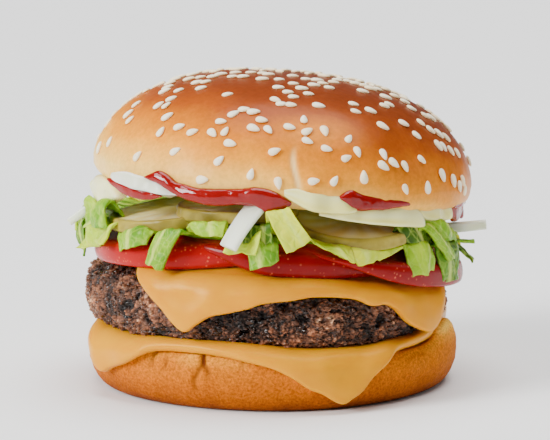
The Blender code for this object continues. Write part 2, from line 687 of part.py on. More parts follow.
def seed_places():
    """Seeded places on the dome, more of them towards the top, none closer than a seed's own length."""
    rng = np.random.default_rng(11)
    kept = []
    while len(kept) < SEED_COUNT:
        az = rng.uniform(-math.pi, math.pi)
        t = 1.0 - math.sqrt(rng.uniform(0.0, 1.0))
        t = 0.06 + 0.92 * (1.0 - t)
        if rng.uniform() > 0.30 + 0.70 * t:
            continue
        radius, height = crown_profile(t)
        p = np.array([radius * math.cos(az), radius * math.sin(az), float(height)])
        if all(np.linalg.norm(p - q[0]) > 4.1 for q in kept):
            kept.append((p, az, rng.uniform(0.0, 2.0 * math.pi), rng.uniform(0.86, 1.12)))
    return kept


def sesame(dome):
    """Drop-shaped seeds that lie on the dome, each a six-sided base under a short ridge."""
    tree = BVHTree.FromPolygons([v.co[:] for v in dome.data.vertices], [p.vertices[:] for p in dome.data.polygons])
    seeds = []
    for local, az, spin, size in seed_places():
        place = crown_turn(local[None])[0]
        hit, normal, _, _ = tree.find_nearest(place * MM)
        out = np.array(normal)
        base = np.array(hit) / MM
        tangent = np.cross(out, (math.cos(spin), math.sin(spin), 0.35))
        tangent /= np.linalg.norm(tangent)
        other = np.cross(out, tangent)
        half = 0.5 * SEED_LENGTH * size
        wide = 0.5 * SEED_WIDTH * size
        outline = ((-1.0, 0.0), (-0.55, 0.75), (0.25, 1.0), (0.9, 0.5), (0.9, -0.5), (0.25, -1.0), (-0.55, -0.75))
        points = [base + tangent * half * u + other * wide * v - out * 0.45 for u, v in outline]
        points += [base - tangent * half * 0.35 + out * 0.85, base + tangent * half * 0.4 + out * 0.95]
        faces = [(0, 1, 7), (1, 2, 8), (1, 8, 7), (2, 3, 8), (3, 4, 8), (4, 5, 8), (5, 6, 8), (6, 7, 8), (6, 0, 7)]
        faces += [(0, 2, 1), (0, 3, 2), (0, 4, 3), (0, 5, 4), (0, 6, 5)]
        seeds.append(make_object("seed", points, faces, False))
    return seeds


make_heel()
make_patty()
cheese_slice("cheese_lower", CHEESE_LOWER, 47.4, heel_top, 0.02)
cheese_slice("cheese_upper", CHEESE_UPPER, 46.2, patty_top, 0.04)

body = tomato("tomato_right")
cut(body, [pickle_tool(tool, up=14.0) for tool in ("pickle_right", "pickle_shaded", "pickle_middle",
                                                          "pickle_rear")])
body = tomato("tomato_middle")
cut(body, [tomato_tool("tomato_right", up=14.0)])
body = tomato("tomato_left")
cut(body, [tomato_tool("tomato_middle", up=14.0)])
body = tomato("tomato_back")
cut(body, [tomato_tool(tool, up=9.0, down=9.0) for tool in ("tomato_left", "tomato_middle", "tomato_right")])

PICKLE_OVER = {"pickle_left": ("pickle_middle",), "pickle_shaded": ("pickle_right",)}
for name in PICKLES:
    body = pickle(name)
    if name in PICKLE_OVER:
        cut(body, [pickle_tool(tool, up=14.0, down=2.0) for tool in PICKLE_OVER[name]])

for name in PETALS:
    petal(name)
for name in STICKS:
    stick(name)

make_lettuce()

sauce("mayonnaise", 1.2, 0.8, 36.8, mayonnaise_rim, mayonnaise_under, mayonnaise_drip)
sauce("ketchup", 2.5, 0.9, 39.5, ketchup_rim, ketchup_under, ketchup_drip)

make_crown()

for obj in bpy.data.objects:
    if not any(p.vertices for p in obj.data.polygons if len(p.vertices) > 3):
        continue
    work = bmesh.new()
    work.from_mesh(obj.data)
    bmesh.ops.triangulate(work, faces=work.faces)
    work.to_mesh(obj.data)
    work.free()
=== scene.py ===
import math

import bpy
import numpy as np
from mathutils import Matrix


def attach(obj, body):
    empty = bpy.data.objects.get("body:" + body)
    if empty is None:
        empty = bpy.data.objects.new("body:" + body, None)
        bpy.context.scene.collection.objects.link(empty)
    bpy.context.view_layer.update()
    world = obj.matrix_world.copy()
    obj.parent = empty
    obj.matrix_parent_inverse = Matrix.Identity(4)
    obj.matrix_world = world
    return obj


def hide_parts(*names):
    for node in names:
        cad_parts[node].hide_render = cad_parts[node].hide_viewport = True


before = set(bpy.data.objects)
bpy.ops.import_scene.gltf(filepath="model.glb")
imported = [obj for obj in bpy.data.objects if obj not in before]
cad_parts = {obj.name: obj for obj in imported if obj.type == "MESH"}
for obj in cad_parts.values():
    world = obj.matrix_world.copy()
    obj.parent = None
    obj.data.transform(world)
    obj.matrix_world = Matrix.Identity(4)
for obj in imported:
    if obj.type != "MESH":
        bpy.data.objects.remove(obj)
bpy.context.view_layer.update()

# Bottom bun: a soft loaf with a flat foot, a bulging side and a dished top, pale near the rim and browner below.
# Sizes are in millimetres and heights start at the floor. It is one closed surface of rings from foot to middle,
# with fine grain, a few shallow cracks at the front left and a rim that curls up at the right.


def ease(low, high, value):
    """Smooth step from 0 at low to 1 at high: t squared times three minus two t. High may be the smaller one."""
    t = np.clip((np.asarray(value, float) - low) / (high - low), 0.0, 1.0)
    return t * t * (3.0 - 2.0 * t)


def window(azimuth, first, last, soft):
    """1 between two azimuths in degrees, easing to 0 over the soft width outside them."""
    middle, half = 0.5 * (first + last), 0.5 * (last - first)
    away = np.abs((np.asarray(azimuth, float) - middle + 180.0) % 360.0 - 180.0)
    return 1.0 - ease(half, half + soft, away)


def lattice(i, j, k, seed):
    """Repeatable random number from -1 to 1 for each whole-number cell."""
    n = (i * 374761393 + j * 668265263 + k * 1103515245 + seed * 1274126177) & 0xFFFFFFFF
    n = ((n ^ (n >> 13)) * 1274126177) & 0xFFFFFFFF
    return ((n ^ (n >> 16)) & 0xFFFF) / 32767.5 - 1.0


def noise(points, cell, seed):
    """Smooth noise from -1 to 1: random corners of cubes of side cell, blended along each axis by ease."""
    q = np.asarray(points, float) / cell
    low = np.floor(q).astype(np.int64)
    f = q - low
    f = f * f * (3.0 - 2.0 * f)
    total = 0.0
    for dx in (0, 1):
        for dy in (0, 1):
            for dz in (0, 1):
                w = (f[..., 0] if dx else 1.0 - f[..., 0]) * (f[..., 1] if dy else 1.0 - f[..., 1])
                w = w * (f[..., 2] if dz else 1.0 - f[..., 2])
                total = total + w * lattice(low[..., 0] + dx, low[..., 1] + dy, low[..., 2] + dz, seed)
    return total


def layered(points, cell, octaves, seed):
    """Sum of noise at halving cells and halving strengths."""
    return sum(0.5**n * noise(points, cell * 0.5**n, seed + n) for n in range(octaves))


def smooth_path(points, count):
    """Count points, evenly spaced along a curve through the given ones, each span bent by its neighbours."""
    p = np.asarray(points, float)
    p = np.vstack([2.0 * p[0] - p[1], p, 2.0 * p[-1] - p[-2]])
    t = np.linspace(0.0, 1.0, 24, endpoint=False)[:, None]
    spans = []
    for a, b, c, d in zip(p[:-3], p[1:-2], p[2:-1], p[3:]):
        bend = (2 * a - 5 * b + 4 * c - d) * t**2 + (3 * b - a - 3 * c + d) * t**3
        spans.append(0.5 * (2.0 * b + (c - a) * t + bend))
    curve = np.vstack(spans + [p[-2][None]])
    along = np.concatenate([[0.0], np.cumsum(np.linalg.norm(np.diff(curve, axis=0), axis=1))])
    want = np.linspace(0.0, along[-1], count)
    return np.stack([np.interp(want, along, curve[:, k]) for k in range(p.shape[1])], 1)


def around(count):
    """Angles of count points spread evenly round a full turn."""
    return np.arange(count) * 2.0 * math.pi / count


def outward(az):
    """Level unit vector that points away from the axis at an azimuth."""
    return np.stack([np.cos(az), np.sin(az), 0.0 * az], -1)


def polar(radius, az, z):
    """Points at a radius from the axis, an azimuth and a height."""
    x = radius * np.cos(az)
    return np.stack([x, radius * np.sin(az), z + 0.0 * x], -1)


def mesh_object(name, points, faces, values=None):
    """A smooth object from points in millimetres, quads or triangles, and named values for each point."""
    mesh = bpy.data.meshes.new(name)
    faces = np.asarray(faces, np.int32)
    sides = faces.shape[1]
    mesh.vertices.add(len(points))
    mesh.vertices.foreach_set("co", (np.asarray(points, float) * 0.001).ravel())
    mesh.loops.add(faces.size)
    mesh.loops.foreach_set("vertex_index", faces.ravel())
    mesh.polygons.add(len(faces))
    mesh.polygons.foreach_set("loop_start", np.arange(0, faces.size, sides, dtype=np.int32))
    mesh.polygons.foreach_set("use_smooth", np.ones(len(faces), bool))
    mesh.update(calc_edges=True)
    for key, value in (values or {}).items():
        layer = mesh.attributes.new(key, "FLOAT", "POINT")
        layer.data.foreach_set("value", np.asarray(value, float).ravel())
    mesh.validate()
    obj = bpy.data.objects.new(name, mesh)
    bpy.context.scene.collection.objects.link(obj)
    return obj


def ring_faces(rows, cols):
    """Quads between rows of points that close round on themselves."""
    i = np.arange(rows - 1)[:, None] * cols
    j = np.arange(cols)[None, :]
    k = (j + 1) % cols
    return np.stack([i + j, i + k, i + cols + k, i + cols + j], -1).reshape(-1, 4)


def ring_shell(name, rows, values=None, flip=False):
    """Closed surface from rows of ring points; the first and last rows shrink to their middles."""
    rows = np.asarray(rows, float)
    first = rows[0].mean(0) + (rows[0] - rows[0].mean(0)) * 1e-3
    last = rows[-1].mean(0) + (rows[-1] - rows[-1].mean(0)) * 1e-3
    rows = np.concatenate([first[None], rows, last[None]])
    if values:
        values = {k: np.concatenate([v[:1], v, v[-1:]]) for k, v in values.items()}
    count, cols = rows.shape[:2]
    faces = ring_faces(count, cols)
    caps = []
    for base in (0, (count - 1) * cols):
        for j in range(1, cols - 2, 2):
            quad = [base, base + j, base + j + 1, base + j + 2]
            caps.append(quad if base else quad[::-1])
    faces = np.concatenate([faces, np.array(caps)])
    return mesh_object(name, rows.reshape(-1, 3), faces[:, ::-1] if flip else faces, values)


def srgb(red, green, blue):
    """Linear colour of an sRGB colour given from 0 to 255."""
    c = np.array([red, green, blue]) / 255.0
    lin = np.where(c <= 0.04045, c / 12.92, ((c + 0.055) / 1.055) ** 2.4)
    return (float(lin[0]), float(lin[1]), float(lin[2]), 1.0)


def grey(level):
    """Colour without a hue, from its linear level."""
    return (level, level, level, 1.0)


def new_material(name):
    """A node material, its tree and its shader."""
    mat = bpy.data.materials.new(name)
    mat.use_nodes = True
    return mat, mat.node_tree, mat.node_tree.nodes["Principled BSDF"]


def add(tree, kind, inputs=None, **settings):
    """Add a node, set its properties, and set or link its inputs."""
    made = tree.nodes.new(kind)
    for key, value in settings.items():
        setattr(made, key, value)
    for key, value in (inputs or {}).items():
        if isinstance(value, bpy.types.NodeSocket):
            tree.links.new(value, made.inputs[key])
        else:
            made.inputs[key].default_value = value
    return made


def ramp(tree, value, stops):
    """Colour ramp over a value; stops are positions with colours."""
    made = add(tree, "ShaderNodeValToRGB", {"Fac": value})
    band = made.color_ramp
    while len(band.elements) < len(stops):
        band.elements.new(0.5)
    for element, (place, colour) in zip(band.elements, stops):
        element.position = place
        element.color = colour
    return made.outputs["Color"]


def mix(tree, share, first, second, blend="MIX"):
    """Mix two colours by a share."""
    made = add(tree, "ShaderNodeMix", data_type="RGBA", blend_type=blend)
    for key, value in ((0, share), (6, first), (7, second)):
        if isinstance(value, bpy.types.NodeSocket):
            tree.links.new(value, made.inputs[key])
        else:
            made.inputs[key].default_value = value
    return made.outputs[2]


def add_bump(tree, shader, height, strength, distance):
    """Tilt the shading by a value that is read as a height; distance is the height in metres of a value of 1."""
    made = add(tree, "ShaderNodeBump", {"Height": height, "Strength": strength, "Distance": distance})
    tree.links.new(made.outputs["Normal"], shader.inputs["Normal"])


def set_surface(shader, gloss, roughness, share, depths):
    """Set how strong and how soft the shine is, the share of light that goes inside, and each colour's depth."""
    shader.inputs["Specular IOR Level"].default_value = gloss
    shader.inputs["Roughness"].default_value = roughness
    shader.inputs["Subsurface Weight"].default_value = share
    shader.inputs["Subsurface Radius"].default_value = depths
    shader.inputs["Subsurface Scale"].default_value = 1.0


def grain_group():
    """Shared grain: fine and coarse noise on object coordinates, out as two values from 0 to 1."""
    tree = bpy.data.node_groups.new("food_grain", "ShaderNodeTree")
    tree.interface.new_socket("Fine", in_out="OUTPUT", socket_type="NodeSocketFloat")
    tree.interface.new_socket("Coarse", in_out="OUTPUT", socket_type="NodeSocketFloat")
    where = add(tree, "ShaderNodeTexCoord").outputs["Object"]
    fine = add(tree, "ShaderNodeTexNoise", {"Vector": where, "Scale": 900.0, "Detail": 3.0, "Roughness": 0.6})
    coarse = add(tree, "ShaderNodeTexNoise", {"Vector": where, "Scale": 110.0, "Detail": 4.0, "Roughness": 0.55})
    out = add(tree, "NodeGroupOutput")
    tree.links.new(fine.outputs["Fac"], out.inputs["Fine"])
    tree.links.new(coarse.outputs["Fac"], out.inputs["Coarse"])
    return tree


GRAIN = grain_group()


def grain(tree, size):
    """Value of the shared grain in a material; size is Fine or Coarse."""
    return add(tree, "ShaderNodeGroup", node_tree=GRAIN).outputs[size]


def attribute(tree, name):
    """Value that the mesh carries at each point."""
    return add(tree, "ShaderNodeAttribute", attribute_name=name).outputs["Fac"]


def place(obj, mat, *nodes):
    """Give a finished piece its material, tie it to the body and let it stand for CAD nodes."""
    obj.data.materials.append(mat)
    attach(obj, "root")
    if nodes:
        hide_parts(*nodes)
    return obj


HEEL_RADIUS = 49.9
CRACKS = (
    # azimuth, height of the lower and upper end, depth, and width in degrees
    (-127.5, 9.0, 16.0, 0.7, 0.9), (-124.5, 8.0, 15.0, 0.5, 0.7), (-112.5, 4.0, 16.0, 0.7, 0.8),
    (-110.0, 8.0, 16.0, 0.8, 0.8), (-100.0, 10.0, 15.5, 0.4, 0.7), (-58.0, 6.0, 13.0, 0.4, 0.7),
    (60.0, 7.0, 16.0, 0.6, 0.9), (131.0, 6.0, 15.0, 0.6, 0.9),
)


def heel_rim(deg):
    """Height of the rim of the bottom bun: lowest at the front right."""
    return 15.2 - 1.3 * window(deg, -75.0, -40.0, 25.0)


def rim_curl(deg):
    """Extra height of the rim where it curls up at the right."""
    return 3.2 * window(deg, -19.0, -11.0, 9.0)


def make_heel():
    """Rings from the middle of the foot, up the side and over the rim, moved outwards by noise and cracks."""
    cols = 420
    az = around(cols)
    deg = np.degrees(az)
    rim = heel_rim(deg) + rim_curl(deg)
    profile = smooth_path([(0.50, 0.0), (0.80, 0.0), (0.885, 0.05), (0.935, 0.75), (0.972, 3.0), (0.995, 6.6),
                           (1.0, 9.6), (0.993, 12.2), (0.975, 14.0), (0.952, 14.7), (0.925, 14.1), (0.895, 12.9),
                           (0.80, 12.4), (0.4, 12.4)], 110)
    wobble = 1.0 + 0.004 * np.sin(3.0 * az + 0.7) + 0.003 * np.sin(5.0 * az + 2.0)
    share, height = profile[:, :1], profile[:, 1:]
    lifted = height * (1.0 + (rim / 15.2 - 1.0) * ease(5.0, 14.0, height) * ease(0.85, 0.93, share))
    radius = HEEL_RADIUS * share * wobble
    points = polar(radius, az, lifted + 0.0 * radius)
    side = ease(0.3, 2.5, lifted) * ease(0.9, 0.97, share)
    move = 0.28 * layered(points, 9.0, 3, 5) + 0.10 * layered(points, 1.6, 2, 9)
    crack = 0.0 * radius
    for where, low, high, deep, wide in CRACKS:
        bend = where + 1.3 * np.sin(lifted * 0.55 + where)
        away = np.abs((deg - bend + 180.0) % 360.0 - 180.0)
        span = ease(low, low + 3.0, lifted) * (1.0 - ease(high - 2.0, high, lifted))
        crack = crack + deep * np.exp(-((away / wide) ** 2)) * span
    out = (side * (move - crack))[..., None]
    points = points + out * outward(az)
    points[..., 2] = np.maximum(points[..., 2], 0.0)
    return ring_shell("bun_bottom", points, {"crack": crack, "height": lifted + 0.0 * radius})


def bun_bottom_material():
    """Baked crust: browner towards the foot, paler near the rim, with speckled grain and painted shade in the
    cracks.
    """
    mat, tree, shader = new_material("bun_bottom")
    coarse = grain(tree, "Coarse")
    height = attribute(tree, "height")
    level = add(tree, "ShaderNodeMath", {0: height, 1: 16.0}, operation="DIVIDE").outputs[0]
    shift = add(tree, "ShaderNodeMath", {0: coarse, 1: 0.34, 2: -0.17}, operation="MULTIPLY_ADD").outputs[0]
    level = add(tree, "ShaderNodeMath", {0: level, 1: shift}, operation="ADD").outputs[0]
    crust = ramp(tree, level, (
        (0.0, srgb(122, 56, 14)), (0.14, srgb(156, 78, 6)), (0.42, srgb(186, 98, 0)),
        (0.72, srgb(200, 112, 2)), (0.90, srgb(226, 148, 28)), (1.0, srgb(250, 192, 74))))
    where = add(tree, "ShaderNodeTexCoord").outputs["Object"]
    crumb = add(tree, "ShaderNodeTexNoise", {"Vector": where, "Scale": 1500.0, "Detail": 2.0, "Roughness": 0.7})
    crumb = crumb.outputs["Fac"]
    speck = ramp(tree, crumb, (
        (0.34, (0.70, 0.64, 0.55, 1.0)), (0.50, (0.98, 0.98, 0.96, 1.0)), (0.66, (1.30, 1.30, 1.28, 1.0))))
    colour = mix(tree, 1.0, crust, speck, "MULTIPLY")
    # Darker by the depth of each crack: painted shade in the cracks.
    colour = mix(tree, attribute(tree, "crack"), colour, srgb(104, 48, 12))
    tree.links.new(colour, shader.inputs["Base Color"])
    add_bump(tree, shader, crumb, 0.7, 0.0004)
    set_surface(shader, 0.05, 0.62, 0.15, (0.003, 0.0015, 0.0008))
    return mat


place(make_heel(), bun_bottom_material(), "heel")

# Cheese slices: square slices, melted so that they lie on what is under them and hang down its side.
# Each is a fine sheet laid over a round support and bent down round its edge, with a thickness, a rounded border
# and soft folds; its outline is a table of azimuths and of lengths along the sheet.

CHEESE_UPPER = (
    (-170.0, 43.0), (-152.0, 42.6), (-142.0, 43.6), (-137.0, 46.6), (-133.5, 49.4), (-129.0, 52.0),
    (-124.0, 55.6), (-120.0, 59.0), (-116.0, 61.2), (-112.5, 59.4), (-108.0, 56.8), (-102.5, 55.5),
    (-97.0, 54.1), (-93.0, 52.6), (-88.5, 51.8), (-84.0, 51.2), (-77.0, 50.2), (-66.0, 50.2), (-60.0, 51.6),
    (-55.5, 51.2), (-52.0, 52.4), (-47.0, 55.8), (-42.0, 57.6), (-37.0, 58.4), (-32.5, 56.2), (-28.5, 51.6),
    (-22.0, 47.8), (-12.0, 45.2), (8.0, 45.2), (28.0, 47.0), (42.0, 52.0), (49.0, 57.5), (54.0, 60.0),
    (59.0, 57.5), (66.0, 52.0), (80.0, 47.5), (96.0, 46.2), (116.0, 48.5), (130.0, 54.0), (140.0, 60.2),
    (150.0, 54.0), (164.0, 48.0),
)
CHEESE_LOWER = (
    (-178.0, 46.4), (-170.0, 47.2), (-163.0, 49.0), (-157.0, 52.2), (-152.5, 56.2), (-148.5, 58.0),
    (-144.0, 56.2), (-138.0, 54.4), (-132.0, 51.8), (-126.0, 49.6), (-116.0, 49.0), (-106.0, 49.4),
    (-97.0, 50.8), (-89.0, 52.0), (-84.0, 54.0), (-79.5, 56.6), (-75.5, 58.0), (-72.0, 60.0), (-69.2, 60.8),
    (-66.5, 59.6), (-63.5, 58.0), (-60.0, 54.6), (-55.5, 51.8), (-49.0, 48.7), (-38.0, 47.2), (-28.0, 46.6),
    (-19.0, 46.0), (-11.0, 46.0), (-2.0, 46.2), (6.0, 46.8), (14.0, 47.8), (22.0, 52.0), (29.0, 58.0),
    (35.0, 54.0), (43.0, 48.2), (53.0, 46.8), (66.0, 46.4), (79.0, 46.8), (92.0, 48.0), (102.5, 53.0),
    (111.0, 59.8), (119.5, 53.0), (130.0, 48.5), (142.0, 47.0), (155.0, 46.5), (168.0, 46.5),
)
CHEESE_THICK = 2.1
CHEESE_BEND = 3.0


def shoulder(x, y):
    """Droop of the filling towards the rim."""
    return 0.015 * np.maximum(0.0, np.hypot(x, y) - 36.0) ** 2


def patty_level(x):
    """Top of the patty before its rim is rounded: it falls away to the right."""
    return 35.0 - 0.0017 * np.maximum(0.0, x + 20.0) ** 2 - 0.0016 * np.maximum(0.0, -20.0 - x) ** 2


def patty_top(x, y):
    """Top of the patty with its rounded rim."""
    return patty_level(x) - shoulder(x, y)


def heel_top(x, y):
    """What the lower slice lies on."""
    deg = np.degrees(np.arctan2(y, x))
    r = np.hypot(x, y)
    return 12.6 + (heel_rim(deg) - 12.5) * ease(38.5, 46.0, r) + rim_curl(deg) * ease(45.6, 47.6, r)


def drape(x, y, edge, under, hang_out, lift):
    """Sheet over a round support: level up to the edge, then a quarter turn, then straight down."""
    r = np.hypot(x, y)
    az = np.arctan2(y, x)
    over = np.maximum(0.0, r - edge)
    bend = CHEESE_BEND + lift
    quarter = 0.5 * math.pi * (CHEESE_BEND + 0.5 * CHEESE_THICK)
    angle = np.minimum(over / quarter, 1.0) * 0.5 * math.pi
    straight = np.maximum(0.0, over - quarter)
    radius = np.minimum(r, edge) + bend * np.sin(angle) + hang_out * straight
    inside = np.minimum(r, edge)
    base = under(inside * np.cos(az), inside * np.sin(az))
    z = base - CHEESE_BEND + bend * np.cos(angle) - straight
    return polar(radius, az, z)


def make_cheese(name, outline, edge, under, hang_out, seed):
    """Sheet with soft tips: top face out to the border, round it, and back along the bottom face."""
    cols = 480
    rows_in = np.array(outline)
    rows_in = np.vstack([rows_in[-2:] - (360.0, 0.0), rows_in, rows_in[:2] + (360.0, 0.0)])
    path = smooth_path(rows_in, 3000)
    deg = -180.0 + (np.arange(cols) + 0.5) * 360.0 / cols
    az = np.radians(deg)
    reach = np.interp(deg, path[:, 0], path[:, 1])
    rows = []
    steps = [(s, -1.0) for s in np.linspace(0.10, 0.985, 70) ** 0.8]
    steps += [(1.0, -math.cos(k)) for k in np.linspace(0.3, math.pi - 0.3, 9)]
    steps += [(s, 1.0) for s in np.linspace(0.985, 0.10, 70) ** 0.8]
    for share, face in steps:
        bulge = 0.5 * CHEESE_THICK * math.sqrt(1.0 - face * face) * 0.9 if share == 1.0 else 0.0
        r = share * reach + bulge
        x, y = r * np.cos(az), r * np.sin(az)
        thick = CHEESE_THICK * (1.0 + 0.35 * ease(0.86, 0.97, share))
        p = drape(x, y, edge, under, hang_out, 0.2 + thick * (0.5 + 0.5 * face))
        flat = np.stack([x, y, 0.0 * x + seed], -1)
        swell = 0.80 * noise(flat, 12.0, seed) + 0.34 * noise(flat, 5.5, seed + 1)
        swell = swell * float(ease(0.5, 0.85, share))
        hang = ease(edge - 6.0, edge + 3.0, r)
        out = outward(az)
        p = p + out * (swell * hang)[..., None] + np.array([0.0, 0.0, 0.5]) * (swell * (1.0 - hang))[..., None]
        rows.append(p)
    return ring_shell(name, rows)


def cheese_material(name, tone):
    """Melted cheese: warm yellow varied a little by noise, softly glossy and slightly translucent."""
    mat, tree, shader = new_material(name)
    coarse = grain(tree, "Coarse")
    colour = mix(tree, coarse, srgb(*tone[0]), srgb(*tone[1]))
    tree.links.new(colour, shader.inputs["Base Color"])
    add_bump(tree, shader, coarse, 0.12, 0.0006)
    set_surface(shader, 0.22, 0.3, 0.35, (0.004, 0.002, 0.0006))
    shader.inputs["Specular Tint"].default_value = (1.0, 0.78, 0.36, 1.0)
    return mat


place(make_cheese("cheese_slice_lower", CHEESE_LOWER, 46.9, heel_top, 0.02, 3),
      cheese_material("cheese_lower", ((212, 134, 0), (230, 162, 0))), "cheese_lower")
place(make_cheese("cheese_slice_upper", CHEESE_UPPER, 46.0, patty_top, 0.04, 8),
      cheese_material("cheese_upper", ((212, 132, 0), (230, 160, 0))), "cheese_upper")

# Beef patty: coarse minced meat seared dark brown. Rings run from the bottom up the side to the top; the side is
# broken into crumbs by rounded lumps of several sizes, and the depth of each point is kept for its colour, which
# paints shade into the crevices and light onto the highest lumps.


PATTY_RADIUS = 49.2
PATTY_LEFT = 0.8


def lumps(points, cell, seed):
    """Rounded lumps round random centres, one in each cube of side cell.

    The height is how much nearer the nearest centre is than the second nearest, times 1.6, to the power of 0.6.
    """
    q = points / cell
    low = np.floor(q).astype(np.int64)
    best = np.full(q.shape[:-1], 9.0)
    second = np.full(q.shape[:-1], 9.0)
    for dx in (-1, 0, 1):
        for dy in (-1, 0, 1):
            for dz in (-1, 0, 1):
                i, j, k = low[..., 0] + dx, low[..., 1] + dy, low[..., 2] + dz
                cell_corner = enumerate((i, j, k))
                c = np.stack([n + 0.5 + 0.42 * lattice(i, j, k, seed + axis) for axis, n in cell_corner], -1)
                d = np.linalg.norm(q - c, axis=-1)
                second = np.where(d < best, best, np.minimum(second, d))
                best = np.minimum(best, d)
    return np.clip((second - best) * 1.6, 0.0, 1.0) ** 0.6


def make_patty():
    """Disc of seared mince: base radius times slow waves, then lumps of three sizes pushed in and out."""
    cols = 760
    az = around(cols)
    deg = np.degrees(az)
    waves = 0.006 * np.sin(2.0 * az + 1.0) + 0.008 * np.sin(5.0 * az)
    grow = PATTY_RADIUS * (1.0 + waves - 0.02 * window(deg, -20.0, 70.0, 40.0))
    floor = heel_rim(deg) + 2.1
    top = patty_top(47.0 * np.cos(az), 47.0 * np.sin(az))
    rows = []
    for share in (0.30, 0.60, 0.80, 0.87):
        rows.append(np.stack([share * grow * np.cos(az), share * grow * np.sin(az), 15.0 + 0.0 * az], -1))
    side = smooth_path([(0.900, 0.0), (0.940, 0.015), (0.975, 0.13), (0.998, 0.34), (1.0, 0.60), (0.988, 0.82),
                        (0.955, 0.965), (0.92, 1.0)], 118)
    for out, share in side:
        z = floor + share * (top - floor)
        rows.append(np.stack([out * grow * np.cos(az), out * grow * np.sin(az), z], -1))
    for share in (0.89, 0.86, 0.8, 0.7, 0.55, 0.3):
        x, y = share * grow * np.cos(az), share * grow * np.sin(az)
        rows.append(np.stack([x, y, patty_top(x, y)], -1))
    points = np.array(rows)
    warp = points + 1.2 * np.stack([noise(points, 3.0, seed) for seed in (31, 32, 33)], -1)
    big = lumps(warp, 3.2, 40)
    small = lumps(warp, 1.5, 50)
    tiny = lumps(warp, 0.75, 60)
    depth = 0.62 * (big - 0.6) + 0.75 * (small - 0.55) + 0.62 * (tiny - 0.5) + 0.7 * layered(points, 8.0, 2, 70)
    depth = depth - 1.4 * np.clip(noise(warp, 2.0, 71) - 0.40, 0.0, 1.0) * 2.0
    active = np.zeros(points.shape[:2])
    active[4:-6] = 1.0
    active[3] = 0.6
    active[-6:-3] = 0.5
    up = np.zeros(points.shape)
    middle = (points[..., 2] - floor) / (top - floor)
    up[..., 2] = 0.8 * (ease(0.85, 1.0, middle) - (1.0 - ease(0.0, 0.12, middle)))
    out = outward(az)[None] * (1.0 - 0.5 * ease(0.9, 1.0, middle))[..., None]
    points = points + (out + up) * (depth * active)[..., None]
    points[..., 0] -= PATTY_LEFT
    return ring_shell("beef_patty", points, {"depth": depth, "mottle": layered(warp, 2.2, 3, 80)})


def patty_material():
    """Seared mince: brown with lighter crumbs on the lumps, greasy in patches; the near-black of the crevices is
    painted shade and the palest tops of the lumps painted light.
    """
    mat, tree, shader = new_material("patty")
    depth = attribute(tree, "depth")
    mottle = attribute(tree, "mottle")
    # Colour by depth: painted shade in the crevices, painted light on the highest lumps, the meat's own brown
    # between.
    level = add(tree, "ShaderNodeMapRange", {"Value": depth, "From Min": -1.1, "From Max": 0.9}).outputs[0]
    level = add(tree, "ShaderNodeMath", {0: mottle, 1: 0.16, 2: level}, operation="MULTIPLY_ADD").outputs[0]
    meat = ramp(tree, level, (
        (0.0, srgb(22, 13, 9)), (0.30, srgb(60, 37, 25)), (0.54, srgb(108, 68, 47)), (0.78, srgb(146, 98, 70)),
        (1.0, srgb(206, 164, 128))))
    where = add(tree, "ShaderNodeTexCoord").outputs["Object"]
    crumb = add(tree, "ShaderNodeTexVoronoi", {"Vector": where, "Scale": 820.0, "Randomness": 1.0}, feature="F1")
    shade = add(tree, "ShaderNodeSeparateColor", {"Color": crumb.outputs["Color"]}).outputs[0]
    tint = ramp(tree, shade, (
        (0.0, (0.45, 0.42, 0.40, 1.0)), (0.6, (1.0, 0.96, 0.92, 1.0)), (1.0, (1.9, 1.7, 1.5, 1.0))))
    tree.links.new(mix(tree, 1.0, meat, tint, "MULTIPLY"), shader.inputs["Base Color"])
    wet = ramp(tree, shade, ((0.30, grey(0.22)), (0.60, grey(0.70))))
    tree.links.new(wet, shader.inputs["Roughness"])
    shader.inputs["Specular IOR Level"].default_value = 0.45
    add_bump(tree, shader, crumb.outputs["Distance"], 0.9, -0.0011)
    return mat


place(make_patty(), patty_material(), "patty")

# Tomato slices: four slices, each leaning on the one beside it. A slice is a disc between two height functions
# with a rounded rim of skin; the skin is glossy and finely dotted, and the cut faces are paler and wet.

TOMATO_THICK = 6.6
TOMATO_LIMIT = 51.4


def tomato_base(x, y):
    """Height at which a slice lies flat on the upper cheese."""
    return patty_level(x) + 2.7 - np.minimum(shoulder(x, y), 1.9)


def lift(x, start, rate, most):
    """Rise of a slice to the left of start: most times tanh of rate times distance squared over most."""
    return most * np.tanh(rate * np.maximum(0.0, start - x) ** 2 / most)


def hidden_side(az, centre, radius, direction, amount):
    """Outline factor that cuts back the hidden side of a slice and keeps its outer side within the limit."""
    away = np.abs((np.degrees(az) - direction + 180.0) % 360.0 - 180.0)
    along = centre[0] * np.cos(az) + centre[1] * np.sin(az)
    limit = np.sqrt(TOMATO_LIMIT**2 - centre[0] ** 2 - centre[1] ** 2 + along**2) - along
    free = 1.0 - amount * (1.0 - ease(20.0, 110.0, away)) + 0.008 * np.sin(3.0 * az + direction)
    return np.minimum(free, limit / radius)


def rim_steps(inner, outer, flat, steep, round_rows):
    """Shares of the radius and face values, from the middle of the lower face round the rim to the upper one's."""
    steps = [(share, -1.0) for share in np.linspace(inner, outer, flat)]
    steps += [(1.0, face) for face in np.linspace(-steep, steep, round_rows)]
    return steps + [(share, 1.0) for share in np.linspace(outer, inner, flat)]


